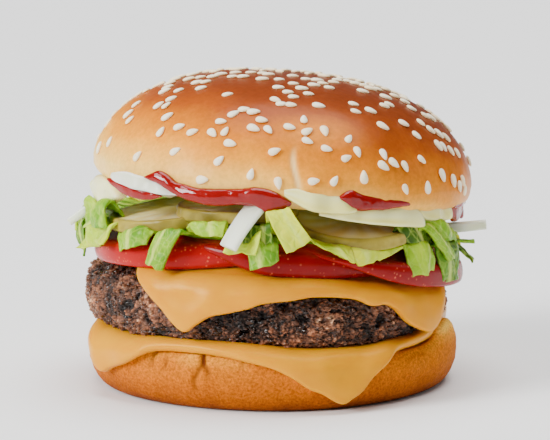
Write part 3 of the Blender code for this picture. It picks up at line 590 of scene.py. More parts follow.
def make_tomato(name, centre, radius, start, rate, most, direction, amount, seed):
    """Rings out along the lower face, round the rim and back along the upper face."""
    cols = 260
    az = around(cols)
    reach = radius * hidden_side(az, centre, radius, direction, amount)
    rows, skin = [], []
    for share, face in rim_steps(0.12, 0.96, 22, 0.98, 30):
        inset = 0.55 * face**10 if share == 1.0 else 0.0
        belly = 0.7 * (1.0 - face * face) if share == 1.0 else -0.45
        r = share * reach + belly - inset
        x = centre[0] + r * np.cos(az)
        y = centre[1] + r * np.sin(az)
        low = tomato_base(x, y) + (lift(x, start, rate, most) if rate else 0.0)
        high = np.maximum(low + 1.6, tomato_base(x, y) + TOMATO_THICK)
        z = 0.5 * (low + high) + 0.5 * (high - low) * face * (0.97 if share == 1.0 else 1.0)
        p = np.stack([x, y, z], -1)
        rows.append(p)
        skin.append(np.full(cols, 1.0 if share == 1.0 else 0.0))
    points = np.array(rows)
    points[..., 2] += 0.12 * layered(points, 6.0, 2, seed) * (1.0 - np.array(skin))
    return ring_shell(name, points, {"skin": np.array(skin)})


def tomato_material(name, dark, light):
    """Skin a deep glossy red with pale pin dots; flesh a lighter red."""
    mat, tree, shader = new_material(name)
    fine = grain(tree, "Fine")
    coarse = grain(tree, "Coarse")
    where = add(tree, "ShaderNodeTexCoord").outputs["Object"]
    dots = add(tree, "ShaderNodeTexVoronoi", {"Vector": where, "Scale": 720.0, "Randomness": 1.0}, feature="F1")
    dot = ramp(tree, dots.outputs["Distance"], ((0.0, grey(1.0)), (0.16, grey(0.55)), (0.27, grey(0.0))))
    patch = ramp(tree, coarse, ((0.38, grey(0.0)), (0.56, grey(0.9))))
    dot = mix(tree, 1.0, dot, patch, "MULTIPLY")
    skin = mix(tree, coarse, srgb(*dark), srgb(*light))
    skin = mix(tree, dot, skin, srgb(222, 104, 66))
    flesh = mix(tree, coarse, srgb(150, 12, 6), srgb(190, 32, 10))
    tree.links.new(mix(tree, attribute(tree, "skin"), flesh, skin), shader.inputs["Base Color"])
    add_bump(tree, shader, fine, 0.10, 0.0003)
    set_surface(shader, 0.15, 0.26, 0.25, (0.004, 0.0008, 0.0005))
    return mat


TOMATO = tomato_material("tomato", (112, 8, 9), (156, 6, 6))
# A brighter copy of the tomato skin for the left slice: painted light on the slice that faces the light from the
# left.
TOMATO_BRIGHT = tomato_material("tomato_painted_lit", (146, 10, 9), (186, 8, 7))
for label, centre, radius, start, rate, most, direction, amount, seed in (
    ("left", (-14.4, -9.8), 32.4, 0.0, 0.0, 1.0, 25.0, 0.42, 1),
    ("middle", (1.5, -17.5), 30.4, 2.0, 0.016, 6.2, 90.0, 0.40, 2),
    ("right", (17.3, -13.0), 33.4, 42.0, 0.0105, 6.0, 160.0, 0.45, 3),
    ("back", (2.0, 16.0), 31.2, 0.0, 0.0, 1.0, -90.0, 0.40, 4),
):
    place(make_tomato("tomato_slice_" + label, centre, radius, start, rate, most, direction, amount, seed),
          TOMATO_BRIGHT if label == "left" else TOMATO, "tomato_" + label)

# Lettuce: cut strips of leaf between tomato and pickle, over a thin core of pressed leaf. Each strip is a sheet that
# starts in the core, crosses the rim and hangs down, folded and crinkled. The corners of the front ones are points
# of the photograph, which is 550 by 440, and the line of sight through a point gives its place on the rim.

DOWNWARD = math.radians(8.2)
FORWARD = np.array([0.0, math.cos(DOWNWARD), -math.sin(DOWNWARD)])
UPWARD = np.array([0.0, math.sin(DOWNWARD), math.cos(DOWNWARD)])
EYE = np.array([0.8, 0.0, 43.0]) - 700.0 * FORWARD
FOCAL_PIXELS = 2583.0
MIDDLE = (275.0, 220.0)
FRONT_LEAVES = (
    # left and right corner at the rim, right and left corner of the tip, radius of the rim in mm, tone; tones of
    # 0.95 and 1.0 are painted shade on leaves that lie in shadow
    ((87, 200), (109, 205), (110, 229), (85, 224), 50.4, 0.55),
    ((91, 223), (115, 223), (111, 244), (86, 249), 51.0, 0.16),
    ((114, 229), (151, 230), (146, 245), (117, 251), 51.4, 0.62),
    ((156, 229), (181, 229), (162, 271), (146, 262), 52.4, 0.62),
    ((186, 222), (226, 221), (224, 237), (194, 235), 50.8, 0.42),
    ((246, 226), (270, 225), (274, 244), (243, 244), 51.0, 0.95),
    ((230, 240), (262, 235), (256, 254), (224, 253), 51.8, 0.20),
    ((245, 240), (278, 241), (279, 262), (250, 271), 52.0, 0.60),
    ((266, 214), (289, 209), (311, 240), (286, 254), 53.0, 0.06),
    ((316, 244), (352, 252), (353, 263), (336, 255), 51.2, 0.22),
    ((348, 253), (406, 248), (382, 258), (357, 267), 51.2, 0.16),
    ((398, 226), (428, 221), (436, 244), (404, 242), 50.8, 1.00),
    ((407, 243), (437, 244), (434, 270), (412, 277), 52.2, 0.45),
    ((426, 219), (459, 227), (458, 241), (437, 239), 52.2, 0.55),
    ((439, 243), (462, 240), (459, 278), (444, 283), 52.4, 0.78),
    ((423, 226), (435, 224), (455, 254), (448, 262), 52.8, 0.50),
)
SPIKES = (
    # azimuth and height of the same four corners, radius of the tip, tone: two thin ends that stick out at the right
    (-14.0, 38.9, -7.0, 38.3, -9.2, 38.7, -10.4, 38.3, 54.9, 0.50),
    (-14.5, 37.4, -8.0, 37.2, -10.2, 33.5, -11.6, 33.0, 54.6, 0.95),
)
CRUMPLED = 2


def on_rim(point, radius):
    """Azimuth and height where the line of sight through a point first meets a cylinder, or passes it nearest."""
    ray = FOCAL_PIXELS * FORWARD + (MIDDLE[1] - point[1]) * UPWARD
    ray[0] = point[0] - MIDDLE[0]
    a = ray[:2] @ ray[:2]
    b = EYE[:2] @ ray[:2]
    c = EYE[:2] @ EYE[:2] - radius**2
    x, y, z = EYE - ray * (b + math.sqrt(max(b * b - a * c, 0.0))) / a
    return math.degrees(math.atan2(y, x)), float(z)


def front_leaves():
    """Azimuths and heights of the corners, radius and tone of each leaf that the front shows."""
    rows = []
    for *corners, radius, tone in FRONT_LEAVES:
        places = [value for point in corners for value in on_rim(point, radius)]
        rows.append((*places, radius, tone))
    return rows + list(SPIKES)


def more_leaves():
    """Strips round the back, drawn by a seeded rule with the same sizes as the ones at the front."""
    rng = np.random.default_rng(21)
    rows = []
    for azimuth in np.arange(6.0, 188.0, 11.0):
        az = azimuth + rng.uniform(-4.5, 4.5)
        half = rng.uniform(3.0, 8.4)
        start = float(patty_level(50.0 * math.cos(math.radians(az)))) + 11.2 + rng.uniform(-1.0, 1.4)
        tip = start - rng.uniform(2.6, 10.8)
        lean = rng.uniform(-6.0, 6.0)
        slant = rng.uniform(-2.2, 2.2)
        rows.append((az - half, start, az + half, start, az + 0.65 * half + lean, tip + slant,
                     az - 0.75 * half + lean, tip - slant, rng.uniform(50.4, 52.0), rng.uniform(0.0, 0.9)))
    return rows


def leaf_grid(row, seed, across=24, down=36):
    """Middle surface of one leaf, its directions outwards, and the places down and across it of each point.

    It runs from inside the core over the rim to the tip, folded along a crease, rippled and crinkled.
    """
    az0, z0, az1, z1, az2, z2, az3, z3, radius, tone = row
    rng = np.random.default_rng(seed)
    notch = rng.uniform(-0.35, 0.35, 8)
    columns = []
    spike = radius > 54.0
    for k in np.linspace(0.0, 1.0, across):
        top_az, top_z = az0 + (az1 - az0) * k, z0 + (z1 - z0) * k
        low_az, low_z = az3 + (az2 - az3) * k, z3 + (z2 - z3) * k + np.interp(k, np.linspace(0.0, 1.0, 8), notch)
        inner = float(patty_level(38.0 * math.cos(math.radians(top_az)))) + 9.8
        half_way = 0.5 * inner + 0.5 * top_z
        if spike:
            line = [(40.0, top_az, inner), (47.0, top_az, half_way), (50.5, top_az, top_z), (radius, low_az, low_z)]
        else:
            line = [(36.0, top_az, inner), (radius - 4.0, top_az, half_way), (radius - 0.9, top_az, top_z),
                    (radius + 0.3, 0.6 * top_az + 0.4 * low_az, 0.6 * top_z + 0.4 * low_z),
                    (radius + 0.5, low_az, low_z)]
        columns.append(smooth_path(line, down))
    r, deg, z = np.array(columns).transpose(2, 1, 0)
    az = np.radians(deg)
    flat = polar(r, az, z)
    face = np.cross(np.gradient(flat, axis=0), np.gradient(flat, axis=1))
    face /= np.maximum(np.linalg.norm(face, axis=-1), 1e-9)[..., None]
    s = np.linspace(0.0, 1.0, down)[:, None]
    c = np.linspace(-0.5, 0.5, across)[None, :]
    width = math.radians(abs(az1 - az0)) * radius
    where = rng.uniform(-0.25, 0.25) + rng.uniform(-0.3, 0.3) * (s - 0.5)
    crease = rng.choice((-1.0, 1.0)) * rng.uniform(0.10, 0.20) * min(width, 12.0) * (np.abs(c - where) - 0.25)
    ripple = rng.uniform(0.10, 0.30) * np.sin(c * rng.uniform(5.0, 9.0) + rng.uniform(0, 6) + 3.0 * s)
    curl = rng.choice((-1.0, 1.0)) * rng.uniform(0.2, 0.9) * (2.0 * c) ** 2
    fold = (crease + ripple + curl) * ease(0.30, 0.8, s) * (0.2 if spike else 1.0)
    rough = 1.5 if seed < 100 + CRUMPLED else 0.6
    crinkle = rough * layered(flat + seed * 7.0, 4.2, 2, seed) + 0.16 * layered(flat, 1.6, 2, seed + 3)
    fold = fold + crinkle * ease(0.15, 0.5, s)
    return flat + face * fold[..., None], face, s + 0.0 * c, c + 0.0 * s


def sheet_faces(rows, cols):
    """Quads of both faces and of the border of a sheet whose lower face follows its upper one."""
    i, j = np.meshgrid(np.arange(rows - 1), np.arange(cols - 1), indexing="ij")
    a = (i * cols + j).ravel()
    top = np.stack([a, a + cols, a + cols + 1, a + 1], -1)
    off = rows * cols
    low = top[:, ::-1] + off
    rim = list(range(cols)) + [k * cols + cols - 1 for k in range(1, rows)]
    rim += [(rows - 1) * cols + k for k in range(cols - 2, -1, -1)] + [k * cols for k in range(rows - 2, 0, -1)]
    rim = np.array(rim)
    nxt = np.roll(rim, -1)
    return np.concatenate([top, low, np.stack([rim, nxt, nxt + off, rim + off], -1)])


def make_lettuce():
    """All strips and the core as one mesh; a tone and a vein value go with each point."""
    points, faces, tone, vein = [], [], [], []
    total = 0
    for n, row in enumerate(front_leaves() + more_leaves()):
        grid, face, s, c = leaf_grid(row, 100 + n)
        thick = 0.32
        both = np.concatenate([(grid + face * thick).reshape(-1, 3), (grid - face * thick).reshape(-1, 3)])
        points.append(both)
        faces.append(sheet_faces(*grid.shape[:2]) + total)
        total += len(both)
        offset = 0.35 * math.sin(n * 1.7)
        side_ribs = 0.5 * np.exp(-(((np.abs(c) * 1.4 + s * 0.8) % 0.30 - 0.15) / 0.03) ** 2)
        rib = np.exp(-(((c - offset * 0.6) / 0.07) ** 2)) + side_ribs
        for store, value in ((tone, row[9] + 0.0 * s), (vein, rib)):
            store.append(np.tile(value.ravel(), 2))
    cols = 200
    az = around(cols)
    rows = []
    core_steps = [(q, 0.0) for q in np.linspace(0.02, 1.0, 24)] + [(q, 1.0) for q in np.linspace(1.0, 0.02, 24)]
    for share, face in core_steps:
        x, y = 42.5 * share * np.cos(az), 42.5 * share * np.sin(az)
        p = np.stack([x, y, tomato_base(x, y) + 6.7 + 1.6 * face], -1)
        p[..., 2] += (0.5 * layered(p, 5.0, 2, 4)) * (0.4 + 0.6 * face)
        rows.append(p)
    core = np.array(rows)
    points.append(core.reshape(-1, 3))
    faces.append(ring_faces(48, cols)[:, ::-1] + total)
    for store, value in ((tone, 0.5), (vein, 0.0)):
        store.append(np.full(48 * cols, value))
    values = {"tone": np.concatenate(tone), "vein": np.concatenate(vein)}
    return mesh_object("lettuce_strips", np.concatenate(points), np.concatenate(faces), values)


def lettuce_material():
    """Leaf: yellow-green to dark green by strip, the darkest being painted shade, paler at ribs and along a net of
    fine lines, light coming through it.
    """
    mat, tree, shader = new_material("lettuce")
    coarse = grain(tree, "Coarse")
    tone = attribute(tree, "tone")
    shift = add(tree, "ShaderNodeMath", {0: coarse, 1: 0.9, 2: -0.45}, operation="MULTIPLY_ADD").outputs[0]
    level = add(tree, "ShaderNodeMath", {0: tone, 1: shift}, operation="ADD").outputs[0]
    # Tone by strip with noise; the dark end of this ramp is painted shade on strips that lie in shadow.
    leaf = ramp(tree, level, (
        (0.0, srgb(216, 228, 50)), (0.35, srgb(164, 202, 20)), (0.65, srgb(96, 150, 18)), (1.0, srgb(50, 80, 12))))
    where = add(tree, "ShaderNodeTexCoord").outputs["Object"]
    bent = add(tree, "ShaderNodeTexNoise", {"Vector": where, "Scale": 260.0, "Detail": 1.0})
    warped = mix(tree, 0.004, where, bent.outputs["Color"], "ADD")
    net = add(tree, "ShaderNodeTexVoronoi", {"Vector": warped, "Scale": 330.0}, feature="DISTANCE_TO_EDGE")
    net = net.outputs["Distance"]
    lines = ramp(tree, net, ((0.0, grey(0.28)), (0.12, grey(0.0))))
    leaf = mix(tree, lines, leaf, srgb(186, 212, 76))
    rib = ramp(tree, attribute(tree, "vein"), ((0.1, grey(0.0)), (1.0, grey(0.70))))
    tree.links.new(mix(tree, rib, leaf, srgb(212, 228, 108)), shader.inputs["Base Color"])
    blister = add(tree, "ShaderNodeMath", {0: net, 1: 0.25}, operation="MINIMUM").outputs[0]
    add_bump(tree, shader, blister, 0.6, 0.0009)
    set_surface(shader, 0.14, 0.38, 0.5, (0.0015, 0.0022, 0.0006))
    return mat


place(make_lettuce(), lettuce_material(), "lettuce")

# Pickle slices: brined cucumber about 3 mm thick, olive-yellow with a darker bumpy rind. Each is a disc on its own
# tilted plane, with a rounded rim and faces that sink a little inside the rind.

PICKLES = {
    # centre, radius, height of the underside at the centre, slopes to the right and to the back
    "left": ((-24.5, -21.0), 18.3, 46.4, 0.13, 0.03), "middle": ((-9.2, -30.2), 15.8, 48.4, 0.0, 0.0),
    "right": ((20.8, -29.6), 15.8, 44.6, -0.06, 0.21), "shaded": ((30.5, -13.0), 14.6, 42.8, -0.06, -0.05),
    "back": ((-15.0, 25.5), 16.2, 47.5, -0.05, 0.0), "rear": ((15.5, 27.0), 14.5, 45.1, -0.08, 0.0),
}


def make_pickle(label):
    """Disc rings: lower face, rounded rim and upper face on a plane through the centre."""
    centre, radius, height, sx, sy = PICKLES[label]
    seed = sum(ord(ch) for ch in label)
    cols = 200
    az = around(cols)
    reach = radius * (1.0 + 0.012 * np.sin(3.0 * az + seed) + 0.010 * np.sin(5.0 * az + 2.0 * seed))
    rows, rind, ray = [], [], []
    for share, face in rim_steps(0.06, 0.955, 22, 0.96, 18):
        on_rim = share == 1.0
        r = share * reach - (0.45 * face**6 if on_rim else 0.0)
        x, y = centre[0] + r * np.cos(az), centre[1] + r * np.sin(az)
        sink = 0.0 if on_rim else 0.22 * (1.0 - ease(0.86, 0.95, share))
        z = height + sx * (x - centre[0]) + sy * (y - centre[1]) + 1.6 + (1.6 - sink) * face
        p = np.stack([x, y, z], -1)
        bump = 0.16 * layered(p, 2.6, 3, seed) if on_rim else 0.10 * layered(p, 3.0, 2, seed)
        p[..., :2] += (np.stack([np.cos(az), np.sin(az)], -1) * bump[:, None]) * (1.0 if on_rim else 0.0)
        p[..., 2] += 0.0 if on_rim else bump * face
        rows.append(p)
        rind.append(np.full(cols, 1.0 if on_rim else float(ease(0.88, 0.96, share))))
        shown = float(ease(0.2, 0.6, share) * (1.0 - ease(0.75, 0.9, share)))
        ray.append((0.5 + 0.5 * np.cos(az * 13.0 + 3.0 * share)) * shown)
    return ring_shell("pickle_slice_" + label, rows, {"rind": np.array(rind), "ray": np.array(ray)})


def pickle_material():
    """Olive-yellow flesh, painted paler than it is as light that reaches under the top bun, with faint paler rays,
    and a mottled darker rind.
    """
    mat, tree, shader = new_material("pickle")
    coarse = grain(tree, "Coarse")
    # The flesh colours are paler than the flesh itself: painted light for the light under the top bun.
    flesh = mix(tree, coarse, srgb(234, 216, 116), srgb(253, 240, 158))
    flesh = mix(tree, attribute(tree, "ray"), flesh, srgb(255, 248, 190))
    rind = ramp(tree, coarse, ((0.30, srgb(130, 114, 38)), (0.52, srgb(168, 150, 62)), (0.78, srgb(214, 194, 98))))
    tree.links.new(mix(tree, attribute(tree, "rind"), flesh, rind), shader.inputs["Base Color"])
    add_bump(tree, shader, coarse, 0.3, 0.0006)
    set_surface(shader, 0.2, 0.28, 0.35, (0.002, 0.0018, 0.0006))
    return mat


PICKLE = pickle_material()
for label in PICKLES:
    place(make_pickle(label), PICKLE, "pickle_" + label)

# Onion: raw white onion, cut into curved petals that stand along the rim and straight pieces that stick out.
# Every piece is a strip swept along a line, its section a thin rounded plate.


def sweep(name, centres, half_wide, half_thick, wide, thin, sections=20):
    """Closed strip: at each centre a flattened ring of half width along wide and half thickness along thin."""
    turn = around(sections)
    u = np.sign(np.cos(turn)) * np.abs(np.cos(turn)) ** 0.45
    v = np.sign(np.sin(turn)) * np.abs(np.sin(turn)) ** 0.8
    rows = centres[:, None] + wide[:, None] * (half_wide[:, None] * u)[..., None]
    rows = rows + thin[:, None] * (half_thick[:, None] * v)[..., None]
    along = np.linspace(0.0, 1.0, len(centres))[:, None]
    stretched = np.stack([7.0 * u + 0.0 * along, 3.0 * v + 0.0 * along, 2.0 * along + 0.0 * u], -1)
    streak = noise(stretched, 1.0, len(name))
    return ring_shell(name, rows, {"streak": 0.5 + 0.5 * streak})


PETALS = {
    # lean of the top, thickness, then rows of azimuth, lower edge, upper edge and radius
    "crescent": (-0.40, 1.2, (
        (-143.5, 58.5, 59.8, 51.4), (-138.0, 57.2, 60.6, 51.8), (-132.0, 56.5, 60.3, 51.8),
        (-126.0, 55.9, 59.0, 51.4), (-121.5, 55.6, 57.6, 50.8), (-118.5, 55.6, 56.6, 50.4))),
    "petal_front": (-0.35, 1.7, (
        (-86.5, 56.4, 58.0, 51.0), (-83.0, 54.3, 58.3, 51.9), (-79.5, 52.7, 57.4, 52.3),
        (-75.0, 51.9, 56.7, 51.9), (-71.0, 51.7, 56.2, 51.6), (-68.0, 51.6, 54.8, 51.8),
        (-65.6, 51.8, 52.9, 51.8))),
    "petal_middle": (-0.20, 1.9, (
        (-76.0, 51.0, 51.8, 49.6), (-71.0, 50.1, 52.4, 51.0), (-65.0, 49.0, 52.4, 51.3),
        (-57.0, 47.8, 52.2, 51.4), (-50.0, 46.9, 52.1, 51.4), (-44.6, 46.3, 51.6, 51.4),
        (-41.4, 46.1, 49.2, 51.4), (-39.8, 46.2, 47.0, 51.3))),
    "petal_right": (-0.20, 1.9, (
        (-43.0, 50.4, 51.8, 50.4), (-39.0, 47.6, 52.3, 50.6), (-33.0, 46.5, 52.3, 50.7),
        (-27.0, 46.2, 51.9, 50.6), (-22.0, 46.4, 50.9, 50.4), (-18.0, 47.2, 50.0, 50.2),
        (-15.0, 48.2, 49.3, 50.0))),
    "petal_back": (0.0, 1.8, (
        (60.0, 46.0, 48.0, 48.8), (66.0, 45.3, 49.2, 48.8), (76.0, 46.0, 50.2, 48.8),
        (88.0, 47.2, 51.0, 48.8), (94.0, 48.0, 50.6, 48.8), (96.5, 48.8, 50.0, 48.8))),
}


def make_petal(label):
    """A curved layer of onion along the rim, between the lower and upper edges of its table, with soft waves."""
    tip_in, thickness, table = PETALS[label]
    path = smooth_path(table, 90)
    az = np.radians(path[:, 0])
    low, high = path[:, 1], path[:, 2]
    radius = path[:, 3] + 0.35 * np.sin(path[:, 0] * 0.7)
    centres = polar(radius, az, 0.5 * (low + high))
    out = outward(az)
    wide = np.array([0.0, 0.0, 1.0]) + out * tip_in
    wide = wide / np.linalg.norm(wide, axis=1)[:, None]
    thin = np.cross(np.stack([-np.sin(az), np.cos(az), 0.0 * az], -1), wide)
    full = np.clip((high - low) / (high - low).max(), 0.0, 1.0)
    return sweep("onion_" + label, centres, 0.5 * (high - low), 0.5 * thickness * (0.45 + 0.55 * full), wide, thin)


STICKS = {
    # start, end, width, thickness, direction of the width
    "strip": ((-4.0, -48.6, 53.4), (-11.0, -53.2, 43.6), 6.4, 1.9, (0.80, 0.0, 0.60)),
    "stick_left": ((-46.5, -10.4, 49.6), (-54.2, -10.0, 43.9), 2.4, 1.8, (0.35, 0.0, -0.93)),
    "stick_right": ((45.0, -9.0, 42.0), (57.2, -11.0, 43.4), 3.0, 1.8, (0.0, 0.0, 1.0)),
}


def make_stick(label):
    """A cut piece of onion, bowed a little and cut square at its end."""
    start, end, width, thickness, across = STICKS[label]
    s = np.concatenate([[0.0, 0.004], np.linspace(0.02, 0.98, 30), [0.996, 1.0]])
    start, end = np.array(start), np.array(end)
    along = (end - start) / np.linalg.norm(end - start)
    wide = np.array(across) - along * np.dot(across, along)
    wide /= np.linalg.norm(wide)
    thin = np.cross(along, wide)
    centres = start + (end - start) * s[:, None] + thin * 0.5 * np.sin(math.pi * s)[:, None]
    body = (1.0 - 0.12 * s) * np.where((s < 0.002) | (s > 0.998), 0.8, 1.0)
    many = len(s)
    return sweep("onion_" + label, centres, 0.5 * width * body, 0.5 * thickness * body, np.tile(wide, (many, 1)),
                 np.tile(thin, (many, 1)))


def onion_material(name, dark, light):
    """Raw onion: pale, with fine lines along it and light passing through."""
    mat, tree, shader = new_material(name)
    coarse = grain(tree, "Coarse")
    body = mix(tree, attribute(tree, "streak"), srgb(*dark), srgb(*light))
    tree.links.new(body, shader.inputs["Base Color"])
    add_bump(tree, shader, coarse, 0.15, 0.0004)
    set_surface(shader, 0.25, 0.25, 0.6, (0.003, 0.003, 0.0022))
    return mat


ONION_CREAM = onion_material("onion_cream", (244, 232, 120), (255, 252, 186))
ONION_CLEAR = onion_material("onion_clear", (214, 222, 190), (250, 254, 236))
for label in PETALS:
    place(make_petal(label), ONION_CLEAR if label == "crescent" else ONION_CREAM, "onion_" + label)
for label in STICKS:
    place(make_stick(label), ONION_CLEAR, "onion_" + label)

# Top bun: a leaning dome, deep golden brown above and pale below, with a hollow underside, a soft crease at the
# front and sesame seeds. The sauces come after it, because they cling to its lower edge.

BUN_RADIUS = 51.2
CROWN_BASE = 52.0
CROWN_HEIGHT = 31.0
CROWN_X = 2.75
LEAN_RIGHT = math.radians(4.8)
LEAN_BACK = math.radians(1.0)


def crown_turn(local):
    """Lean points of the top bun to the right and back and lift them to their place."""
    ca, sa, cb, sb = math.cos(LEAN_RIGHT), math.sin(LEAN_RIGHT), math.cos(LEAN_BACK), math.sin(LEAN_BACK)
    y = cb * local[..., 1] + sb * local[..., 2]
    z = cb * local[..., 2] - sb * local[..., 1]
    return np.stack([ca * local[..., 0] + sa * z + CROWN_X, y, ca * z - sa * local[..., 0] + CROWN_BASE], -1)


def crown_unturn(world):
    """Inverse of crown_turn."""
    ca, sa, cb, sb = math.cos(LEAN_RIGHT), math.sin(LEAN_RIGHT), math.cos(LEAN_BACK), math.sin(LEAN_BACK)
    x, y, z = world[..., 0] - CROWN_X, world[..., 1], world[..., 2] - CROWN_BASE
    u, w = ca * x - sa * z, sa * x + ca * z
    return np.stack([u, cb * y - sb * w, sb * y + cb * w], -1)


def crown_profile(t):
    """Radius and height of the outside of the dome, from t = 0 at its widest to 1 at its top."""
    angle = 0.5 * math.pi * np.asarray(t, float)
    return BUN_RADIUS * np.cos(angle) ** 0.80, 4.0 + (CROWN_HEIGHT - 4.0) * np.sin(angle) ** 1.06


def crown_under(x, y):
    """Plane of the underside of the top bun."""
    return CROWN_BASE - math.tan(LEAN_RIGHT) * (x - CROWN_X) - math.tan(LEAN_BACK) * y


def make_crown():
    """Rings from the hollow underside round the rim and up to the top, moved along their normals by soft noise."""
    cols = 480
    az = around(cols)
    wobble = 1.0 + 0.004 * np.sin(2.0 * az + 0.4) + 0.003 * np.sin(5.0 * az)
    t = np.linspace(0.04, 0.985, 120)
    radius, height = crown_profile(t)
    under = smooth_path([(20.0, 3.0), (41.5, 3.0), (44.2, 1.0), (46.6, 0.1), (48.6, 0.25), (50.1, 1.3),
                         (50.95, 2.9)], 46)
    profile = np.concatenate([under, np.stack([radius, height], -1)])
    r = profile[:, :1] * wobble
    local = polar(r, az, profile[:, 1:] + 0.0 * az)
    swell = 0.45 * layered(local, 17.0, 3, 15) + 0.05 * layered(local, 2.0, 2, 16)
    outer = ease(0.5, 4.0, local[..., 2]) * ease(44.0, 48.0, local[..., 2] * 1.6 + r)
    deg = np.degrees(az)
    bend = -87.2 + 1.1 * np.sin(local[..., 2] * 0.35)
    span = ease(0.0, 2.0, local[..., 2]) * (1.0 - ease(11.0, 17.0, local[..., 2]))
    crease = np.exp(-(((deg - 360.0 * (deg > 180.0)) - bend) / 0.75) ** 2) * span
    away = local / np.linalg.norm(local * np.array([1.0, 1.0, 2.2]), axis=-1)[..., None]
    local = local + away * ((swell * outer) - 0.55 * crease)[..., None]
    x, y, h = local[..., 0], local[..., 1], local[..., 2]
    # Browner with height, and browner to the right through the x term, which is painted shade away from the light at
    # the left. The next line makes a paler patch on the upper front.
    bake = h / CROWN_HEIGHT + 0.20 * x / BUN_RADIUS
    bake = bake - 0.26 * np.exp(-(((x - 8.0) / 12.0) ** 2) - ((h - 21.0) / 5.0) ** 2) * ease(5.0, -15.0, y)
    return ring_shell("bun_top", crown_turn(local), {"bake": bake, "crease": crease})


def bun_top_material():
    """Baked crust with a soft egg-wash sheen: pale cream at the lower edge, golden, then deep brown on top, and
    browner at the right as painted shade.
    """
    mat, tree, shader = new_material("bun_top")
    fine = grain(tree, "Fine")
    coarse = grain(tree, "Coarse")
    where = add(tree, "ShaderNodeTexCoord").outputs["Object"]
    cloud = add(tree, "ShaderNodeTexNoise", {"Vector": where, "Scale": 38.0, "Detail": 4.0, "Roughness": 0.55})
    cloud = cloud.outputs["Fac"]
    shift = add(tree, "ShaderNodeMath", {0: cloud, 1: 0.36, 2: -0.18}, operation="MULTIPLY_ADD").outputs[0]
    level = add(tree, "ShaderNodeMath", {0: attribute(tree, "bake"), 1: shift}, operation="ADD").outputs[0]
    crust = ramp(tree, level, (
        (0.0, srgb(252, 206, 106)), (0.16, srgb(248, 182, 74)), (0.30, srgb(234, 150, 28)),
        (0.46, srgb(206, 116, 4)), (0.62, srgb(160, 74, 14)), (0.80, srgb(130, 54, 10)), (1.0, srgb(116, 46, 8))))
    speck = ramp(tree, coarse, ((0.3, (0.93, 0.92, 0.90, 1.0)), (0.7, grey(1.05))))
    colour = mix(tree, 1.0, crust, speck, "MULTIPLY")
    dust = ramp(tree, fine, ((0.34, (0.90, 0.88, 0.84, 1.0)), (0.66, (1.07, 1.07, 1.06, 1.0))))
    colour = mix(tree, 1.0, colour, dust, "MULTIPLY")
    colour = mix(tree, attribute(tree, "crease"), colour, srgb(255, 214, 140))
    tree.links.new(colour, shader.inputs["Base Color"])
    add_bump(tree, shader, coarse, 0.22, 0.0006)
    set_surface(shader, 0.09, 0.3, 0.12, (0.003, 0.0015, 0.0008))
    return mat


place(make_crown(), bun_top_material(), "crown")

# Sesame seeds: drop-shaped, cream with a slightly darker border, more of them towards the top. The front ones lie
# under points read in the photograph, the others where a seeded rule puts them, each turned its own way.

ENLARGED = 3.5
CORNER = (80.0, 60.0)
FRONT_SEEDS = (
    # across and down in the part of the photograph that starts at the corner, enlarged, and turn against the level
    (518, 123, 20), (320, 137, 10), (281, 160, 70), (309, 160, 75), (199, 156, 35), (222, 147, 30),
    (170, 192, 30), (177, 214, 40), (100, 224, 60), (302, 203, 35), (352, 236, 0), (283, 256, 85),
    (397, 253, 10), (463, 255, -50), (487, 218, -20), (509, 250, 80), (523, 293, -20), (537, 193, 50),
    (568, 176, 0), (610, 185, 0), (635, 210, -20), (606, 243, -35), (633, 250, 0), (658, 246, -60),
    (675, 318, 30), (334, 317, 20), (494, 355, 50), (204, 335, 35), (106, 287, 90), (69, 305, 80),
    (436, 420, 5), (605, 398, 80), (693, 430, -75), (811, 423, 15), (898, 422, 60), (922, 430, 90),
    (991, 410, 90), (738, 236, -20), (783, 210, 90), (797, 250, 50), (795, 287, -25), (853, 250, -85),
    (859, 313, -8), (945, 277, 65), (933, 345, 35), (975, 325, -80), (1060, 335, -80), (1058, 372, -25),
    (1100, 362, -30), (1140, 370, -70), (1191, 348, -25), (1175, 268, -40), (1055, 233, -35), (1132, 222, -5),
    (1017, 178, -20), (966, 180, -8), (956, 155, 0), (840, 163, -15), (683, 142, -60), (703, 157, 0),
    (733, 157, -15), (747, 132, 10), (725, 114, 0), (800, 119, -5), (773, 101, 0), (697, 98, 0), (748, 85, 0),
    (820, 92, 10), (850, 84, -10), (872, 99, 0), (985, 110, 0), (1020, 105, -10), (1080, 157, -5),
    (1070, 133, -15), (1100, 127, -10), (1160, 172, -20), (1195, 222, -75), (1228, 247, -50),
    (1255, 262, -60), (1277, 272, -25), (1253, 303, -75), (1270, 305, -85), (1297, 317, -70),
    (1318, 327, -80), (1268, 405, -75), (1303, 424, -85), (1325, 440, -80), (1337, 422, -60), (1345, 452, 60),
    (1218, 443, 88), (1142, 450, -60), (350, 107, 25), (427, 102, 5), (445, 78, 5), (405, 82, 5),
    (385, 68, 20), (330, 73, 15), (355, 62, 10), (318, 84, 10), (308, 98, 15), (300, 110, 30), (530, 62, 0),
    (575, 60, 0), (600, 47, 0), (545, 48, 0), (495, 52, 0), (637, 70, 0), (660, 54, 0), (700, 70, 0),
    (745, 60, 0), (790, 69, -5), (830, 74, 0), (640, 50, 0), (905, 74, -5), (890, 82, 0), (935, 76, -10),
    (960, 84, 0), (1000, 95, -10), (1040, 104, -10), (465, 60, 5), (425, 62, 5), (1230, 205, -40),
    (1205, 195, -30), (1065, 160, 0), (1140, 150, -25),
)
SEED_HALF = 1.68
VIEW = np.array([0.0, -0.99, 0.14])


def dome_normal(az, t):
    """Outward direction of the dome at an azimuth and a place up its side."""
    (r0, h0), (r1, h1) = crown_profile(t - 0.002), crown_profile(min(t + 0.002, 1.0))
    slope = np.array([r1 - r0, h1 - h0]) / math.hypot(r1 - r0, h1 - h0)
    return np.array([slope[1] * math.cos(az), slope[1] * math.sin(az), -slope[0]])


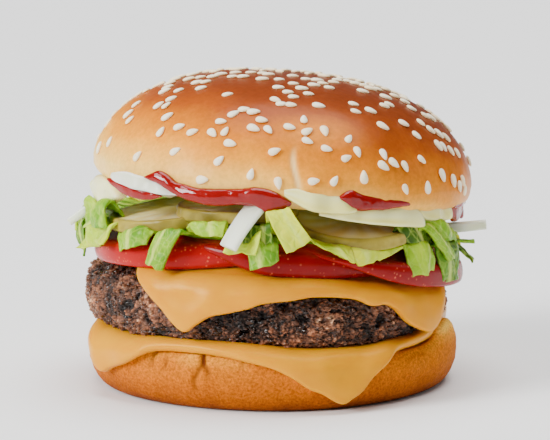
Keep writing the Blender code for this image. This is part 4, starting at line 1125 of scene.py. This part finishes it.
def front_places():
    """Azimuth, place up the dome and direction of each front seed, from the place on the near side that shows at it.

    Places are tried at every half degree and in 300 steps up the dome, and kept to a whole degree and a hundredth.
    """
    az = np.radians(np.arange(-200.0, 20.5, 0.5))
    t = np.linspace(0.0, 0.97, 300)
    radius, height = crown_profile(t)
    dome = crown_turn(polar(radius, az[:, None], height))
    near = (np.cross(np.gradient(dome, axis=0), np.gradient(dome, axis=1)) * (EYE - dome)).sum(-1) > 0.0
    depth = (dome - EYE) @ FORWARD
    across = MIDDLE[0] + FOCAL_PIXELS * (dome - EYE)[..., 0] / depth
    down = MIDDLE[1] - FOCAL_PIXELS * ((dome - EYE) @ UPWARD) / depth
    places = []
    for x, y, turn in FRONT_SEEDS:
        away = np.hypot(across - CORNER[0] - x / ENLARGED, down - CORNER[1] - y / ENLARGED)
        i, j = np.unravel_index(np.argmin(np.where(near, away, np.inf)), away.shape)
        turn = math.radians(turn)
        places.append((math.radians(round(math.degrees(az[i]))), round(float(t[j]), 2),
                       (math.cos(turn), 0.0, math.sin(turn))))
    return places


def seed_places(count):
    """The front seeds, then seeded ones on the side turned away from the front, none touching."""
    rng = np.random.default_rng(11)
    wanted = front_places()
    kept = []
    while len(kept) < count:
        front = bool(wanted)
        if front:
            az, t, along = wanted.pop(0)
        else:
            az, spin = rng.uniform(-math.pi, math.pi, 2)
            t = 0.06 + 0.92 * math.sqrt(rng.uniform(0.0, 1.0))
            along = (math.cos(spin), math.sin(spin), 0.35)
            if dome_normal(az, t) @ VIEW > 0.15 or rng.uniform() > 0.5 + 0.5 * t:
                continue
        radius, height = crown_profile(t)
        p = np.array([radius * math.cos(az), radius * math.sin(az), float(height)])
        if all(np.linalg.norm(p - q[0]) > (2.3 if front else 3.9) for q in kept):
            kept.append((p, dome_normal(az, t), np.array(along), rng.uniform(0.88, 1.10)))
    return kept


def make_sesame(count=290):
    """All seeds as one mesh: a drop outline swept over half an ellipse above and a shallow one below."""
    rings, cols = 9, 18
    turn = around(cols)
    points, faces, tint, rim = [], [], [], []
    base = ring_faces(rings, cols)
    for n, (p, out, along, size) in enumerate(seed_places(count)):
        tangent = along - out * (along @ out)
        tangent /= np.linalg.norm(tangent)
        other = np.cross(out, tangent)
        half, wide, high = SEED_HALF * size, 1.04 * size, 0.55 * size
        v = np.linspace(-0.999, 0.999, rings)[:, None]
        ring = np.sqrt(1.0 - v**2)
        u = np.cos(turn) * ring
        w = np.sin(turn) * ring * (1.0 - 0.42 * np.cos(turn) * ring) * 0.95
        local = p + tangent * (half * u)[..., None] + other * (wide * w)[..., None]
        local = local + out * (high * (v + 0.45) + 0.0 * u)[..., None]
        points.append(crown_turn(local).reshape(-1, 3))
        faces.append(base + n * rings * cols)
        tint.append(np.full(rings * cols, (n * 0.37) % 1.0))
        rim.append((np.clip(ring, 0.0, 1.0) + 0.0 * u).ravel())
    values = {"tint": np.concatenate(tint), "rim": np.concatenate(rim)}
    return mesh_object("sesame_seeds", np.concatenate(points), np.concatenate(faces), values)


def sesame_material():
    """Hulled seed: cream, warmer at its border, varied a little from seed to seed."""
    mat, tree, shader = new_material("sesame")
    body = mix(tree, attribute(tree, "tint"), srgb(255, 236, 202), srgb(255, 250, 228))
    border = ramp(tree, attribute(tree, "rim"), ((0.55, grey(0.0)), (1.0, grey(0.55))))
    tree.links.new(mix(tree, border, body, srgb(250, 214, 154)), shader.inputs["Base Color"])
    set_surface(shader, 0.1, 0.5, 0.2, (0.001, 0.0008, 0.0006))
    return mat


seeds = place(make_sesame(), sesame_material())

# Mayonnaise and ketchup: each a thin layer in the hollow of the top bun that comes out under its rim, and beads of
# it that cling to the lower edge of the bun. A bead is a rounded band between an upper and a lower height that
# vary with azimuth, lying on the surface behind it.


def sauce_layer(name, above, thickness, inner, reach, dip, fall):
    """Layer as rings: level in the hollow, then down under the rim, hanging lower where fall says."""
    cols = 240
    az = around(cols)
    deg = np.degrees(az)
    edge, down, hang = reach(deg), dip(deg), fall(deg)
    rows = []
    path = smooth_path([(0.0, 1.0, 0.0), (0.0, 1.0, 0.0), (0.5, 1.0, 0.6), (0.92, 1.0, 1.0), (1.0, 0.4, 0.6),
                        (0.92, 0.0, 0.1), (0.5, 0.0, 0.0), (0.0, 0.0, 0.0)], 60)
    for share in (0.3, 0.6, 0.97):
        r = share * inner + 0.0 * az
        x, y = CROWN_X + r * np.cos(az), r * np.sin(az)
        rows.append(np.stack([x, y, crown_under(x, y) + above - thickness], -1))
    for share, lower, extra in path:
        r = inner + 1.6 + np.clip(share, 0.0, 1.0) * (edge - inner - 1.6)
        x, y = CROWN_X + r * np.cos(az), r * np.sin(az)
        rows.append(np.stack([x, y, crown_under(x, y) + above - lower * thickness - extra * hang - down], -1))
    for share in (0.97, 0.6, 0.3):
        r = share * inner + 0.0 * az
        x, y = CROWN_X + r * np.cos(az), r * np.sin(az)
        rows.append(np.stack([x, y, crown_under(x, y) + above], -1))
    return ring_shell(name, rows)


def surface_radius(az, z):
    """Radius of the outside of the top bun at a world azimuth and height, found by a few corrections."""
    r = np.full(np.shape(z), 49.0)
    for _ in range(5):
        local = crown_unturn(polar(r, az, z))
        h = local[..., 2]
        up = np.clip((h - 4.0) / (CROWN_HEIGHT - 4.0), 0.0, 0.999) ** (1.0 / 1.06)
        rounded = BUN_RADIUS - 3.4 * np.clip(1.0 - h / 4.0, 0.0, 1.0) ** 2.0
        want = np.where(h > 4.0, BUN_RADIUS * (1.0 - up**2) ** 0.40, rounded)
        r = r + want - np.hypot(local[..., 0], local[..., 1])
    return r


def bead(name, table, thickness, seed, sink=0.5, rough=0.25, least=47.0):
    """Rounded band: table rows are azimuth, lower height and upper height; it bulges out by its thickness."""
    table = np.asarray(table, float)
    n = 150
    s = np.linspace(0.0, 1.0, n)
    path = smooth_path(table, n)
    az = np.radians(path[:, 0])[:, None]
    low, high = path[:, 1:2], path[:, 2:3]
    full = np.clip(np.sin(math.pi * np.clip(s, 0.004, 0.996)), 0.0, 1.0)[:, None] ** 0.18
    turn = around(36)[None, :]
    v = np.sin(turn)
    z = 0.5 * (low + high) + 0.5 * (high - low) * v * full
    c = np.cos(turn)
    bulge = np.where(c > 0.0, np.abs(c) ** 0.6 * thickness, -sink * np.abs(c)) * (0.35 + 0.65 * full)
    flat = np.stack([50.0 * np.cos(az) + 0.0 * z, 50.0 * np.sin(az) + 0.0 * z, z], -1)
    lump = rough * layered(flat, 4.5, 2, seed) * np.clip(c, 0.0, 1.0)
    r = np.clip(surface_radius(az + 0.0 * z, z), least, 51.4) + bulge + lump - 0.25
    rows = polar(r, az, z + 0.35 * rough * layered(flat, 3.0, 2, seed + 5))
    return ring_shell(name, rows, flip=True)


def ketchup_reach(deg):
    """Reach of the ketchup layer with azimuth."""
    reach = 8.6 * window(deg, -132.0, -96.0, 9.0) + 5.0 * window(deg, -66.0, -46.0, 10.0)
    reach = reach + 7.4 * window(deg, -8.0, -1.0, 9.0) + 7.4 * window(deg, 26.0, 46.0, 10.0)
    return 41.7 + reach + 6.4 * window(deg, 128.0, 148.0, 10.0)


def ketchup_dip(deg):
    """How far the ketchup layer drops to pass under the rim: less where the front band hides it."""
    return 2.85 - 1.3 * window(deg, -140.0, -84.0, 8.0)


def ketchup_fall(deg):
    """How far the ketchup layer hangs down with azimuth."""
    front = 0.5 * window(deg, -62.0, -50.0, 8.0) + 2.6 * window(deg, -7.0, -2.0, 7.0)
    return front + 0.9 * window(deg, 30.0, 42.0, 8.0)


def mayonnaise_reach(deg):
    """Reach of the mayonnaise layer with azimuth."""
    return 38.6 + 12.6 * window(deg, 170.0, 204.0, 10.0)


def mayonnaise_dip(deg):
    """How far the mayonnaise layer drops to pass under the rim."""
    return 2.85 * window(deg, 152.0, 220.0, 10.0)


def mayonnaise_fall(deg):
    """How far the mayonnaise layer hangs down with azimuth."""
    return 2.6 * window(deg, 184.0, 200.0, 12.0)


def sauce_material(name, first, second, roughness, weight, radius):
    """Smooth sauce: one colour a little varied, wet, with some light passing through it."""
    mat, tree, shader = new_material(name)
    coarse = grain(tree, "Coarse")
    tree.links.new(mix(tree, coarse, srgb(*first), srgb(*second)), shader.inputs["Base Color"])
    add_bump(tree, shader, coarse, 0.5, 0.0012)
    set_surface(shader, 0.36, roughness, weight, radius)
    return mat


MAYONNAISE = sauce_material("mayonnaise", (253, 246, 172), (255, 253, 200), 0.32, 0.4, (0.003, 0.0025, 0.0015))
KETCHUP = sauce_material("ketchup", (120, 4, 4), (150, 12, 8), 0.10, 0.3, (0.002, 0.0004, 0.0003))
FRONT_BAND = (
    # across, lower edge and upper edge of the ketchup at the front, as points of the photograph
    (142, 180, 176), (148, 183, 172), (155, 186, 170), (163, 191, 174), (172, 196, 182), (182, 200, 185),
    (192, 203, 188), (205, 206, 189), (220, 207, 190), (236, 206, 190), (246, 205, 188), (256, 209, 187),
    (266, 215, 188), (276, 214, 191), (285, 212, 196), (292, 208, 201),
)
BAND_RADIUS = 52.3
BEADS = (
    # label, rows of azimuth, lower and upper height, thickness, seed, least radius behind it
    ("left", ((-147.0, 57.0, 58.4), (-142.5, 55.6, 58.3), (-139.4, 54.7, 57.7), (-135.0, 54.0, 57.2),
              (-131.0, 53.8, 56.8), (-127.0, 54.0, 56.2), (-123.5, 54.7, 55.4)), 1.0, 14, 50.9),
    ("right", ((-70.8, 54.8, 56.4), (-69.0, 53.4, 57.4), (-67.0, 51.9, 57.8), (-64.0, 51.2, 56.6),
               (-60.0, 51.2, 55.7), (-55.4, 51.8, 54.9), (-51.0, 52.0, 54.3), (-47.0, 51.9, 53.8),
               (-43.5, 52.0, 53.2)), 1.7, 16, 49.5),
    ("end", ((-22.5, 48.4, 51.2), (-19.0, 45.4, 51.2), (-14.0, 44.2, 50.8), (-9.0, 44.6, 50.2),
             (-5.0, 46.4, 49.2)), 1.4, 18, 49.0),
    ("back", ((24.0, 47.2, 49.6), (32.0, 46.0, 51.2), (40.0, 46.2, 51.6), (49.0, 48.0, 50.4)), 1.4, 20, 49.0),
    ("rear", ((126.0, 52.2, 54.4), (134.0, 51.0, 56.2), (142.0, 51.2, 56.4), (151.0, 53.4, 55.6)), 1.4, 22, 49.0),
)
MAYONNAISE_BLOB = ((-182.0, 51.8, 53.6), (-174.0, 50.0, 55.4), (-164.0, 48.8, 56.6), (-154.0, 49.6, 56.2),
                   (-147.0, 52.0, 54.0))


def band_rows(points, radius):
    """Azimuth, lower and upper height of a band whose edges are given as points of the photograph."""
    rows = []
    for across, lower, upper in points:
        rows.append((*on_rim((across, lower), radius), on_rim((across, upper), radius)[1]))
    return rows


place(sauce_layer("mayonnaise_layer", 1.2, 0.8, 36.8, mayonnaise_reach, mayonnaise_dip, mayonnaise_fall), MAYONNAISE,
      "mayonnaise")
place(bead("mayonnaise_blob", MAYONNAISE_BLOB, 2.2, 7, 2.5, 0.5), MAYONNAISE)
place(sauce_layer("ketchup_layer", 2.5, 0.9, 39.5, ketchup_reach, ketchup_dip, ketchup_fall), KETCHUP, "ketchup")
for label, table, thickness, seed, least in (("front", band_rows(FRONT_BAND, BAND_RADIUS), 2.0, 12, 50.3), *BEADS):
    place(bead("ketchup_" + label, table, thickness, seed, rough=0.45, least=least), KETCHUP)

# Floor, light and camera: a pale floor that the burger stands on, a sun from the left front and a softer one from
# above, two small lamps for the sheen on wet and baked surfaces, and the camera, a little above the burger.


def make_floor():
    """A large pale square at height 0 that isn't part of the object."""
    mesh = bpy.data.meshes.new("floor")
    mesh.from_pydata([(-3.0, -3.0, 0.0), (3.0, -3.0, 0.0), (3.0, 3.0, 0.0), (-3.0, 3.0, 0.0)], [], [(0, 1, 2, 3)])
    floor = bpy.data.objects.new("floor", mesh)
    bpy.context.scene.collection.objects.link(floor)
    mat, tree, shader = new_material("floor")
    shader.inputs["Base Color"].default_value = grey(0.95)
    shader.inputs["Roughness"].default_value = 0.9
    mesh.materials.append(mat)


def add_area(name, place_at, aim, size, power):
    """Square area light that points at a place."""
    lamp = bpy.data.lights.new(name, "AREA")
    lamp.shape = "SQUARE"
    lamp.size = size
    lamp.energy = power
    obj = bpy.data.objects.new(name, lamp)
    obj.location = place_at
    direction = np.array(aim) - np.array(place_at)
    obj.rotation_euler = (math.atan2(math.hypot(direction[0], direction[1]), -direction[2]), 0.0,
                          math.atan2(direction[1], direction[0]) - math.pi / 2.0)
    bpy.context.scene.collection.objects.link(obj)


def add_sun(name, source, power, angle):
    """Even light over the whole floor that comes from the direction of source, soft by its angle in degrees."""
    lamp = bpy.data.lights.new(name, "SUN")
    lamp.energy = power
    lamp.angle = math.radians(angle)
    obj = bpy.data.objects.new(name, lamp)
    obj.location = source
    obj.rotation_euler = (math.atan2(math.hypot(source[0], source[1]), source[2]), 0.0,
                          math.atan2(-source[1], -source[0]) - math.pi / 2.0)
    bpy.context.scene.collection.objects.link(obj)


def add_camera():
    """Camera 0.7 m from the middle of the burger and 8.2 degrees above it; the lens gives the photo's size."""
    data = bpy.data.cameras.new("camera")
    data.lens = 169.07
    data.sensor_width = 36.0
    data.clip_start = 0.01
    camera = bpy.data.objects.new("camera", data)
    tilt = math.radians(8.2)
    camera.location = (0.0008, -0.7 * math.cos(tilt), 0.043 + 0.7 * math.sin(tilt))
    camera.rotation_euler = (math.radians(90.0) - tilt, 0.0, 0.0)
    bpy.context.scene.collection.objects.link(camera)
    bpy.context.scene.camera = camera


make_floor()
add_sun("key", (-0.80, -0.50, 0.42), 4.3, 22.0)
add_sun("top", (0.10, 0.10, 1.0), 3.9, 50.0)
add_area("sheen_left", (-0.50, -0.20, 0.55), (0.0, 0.0, 0.06), 0.22, 1.8)
add_area("sheen_right", (0.70, 0.05, 0.36), (0.0, 0.0, 0.06), 0.30, 0.3)
world = bpy.data.worlds.new("world")
world.use_nodes = True
world.node_tree.nodes["Background"].inputs["Color"].default_value = grey(1.0)
world.node_tree.nodes["Background"].inputs["Strength"].default_value = 0.20
bpy.context.scene.world = world
add_camera()
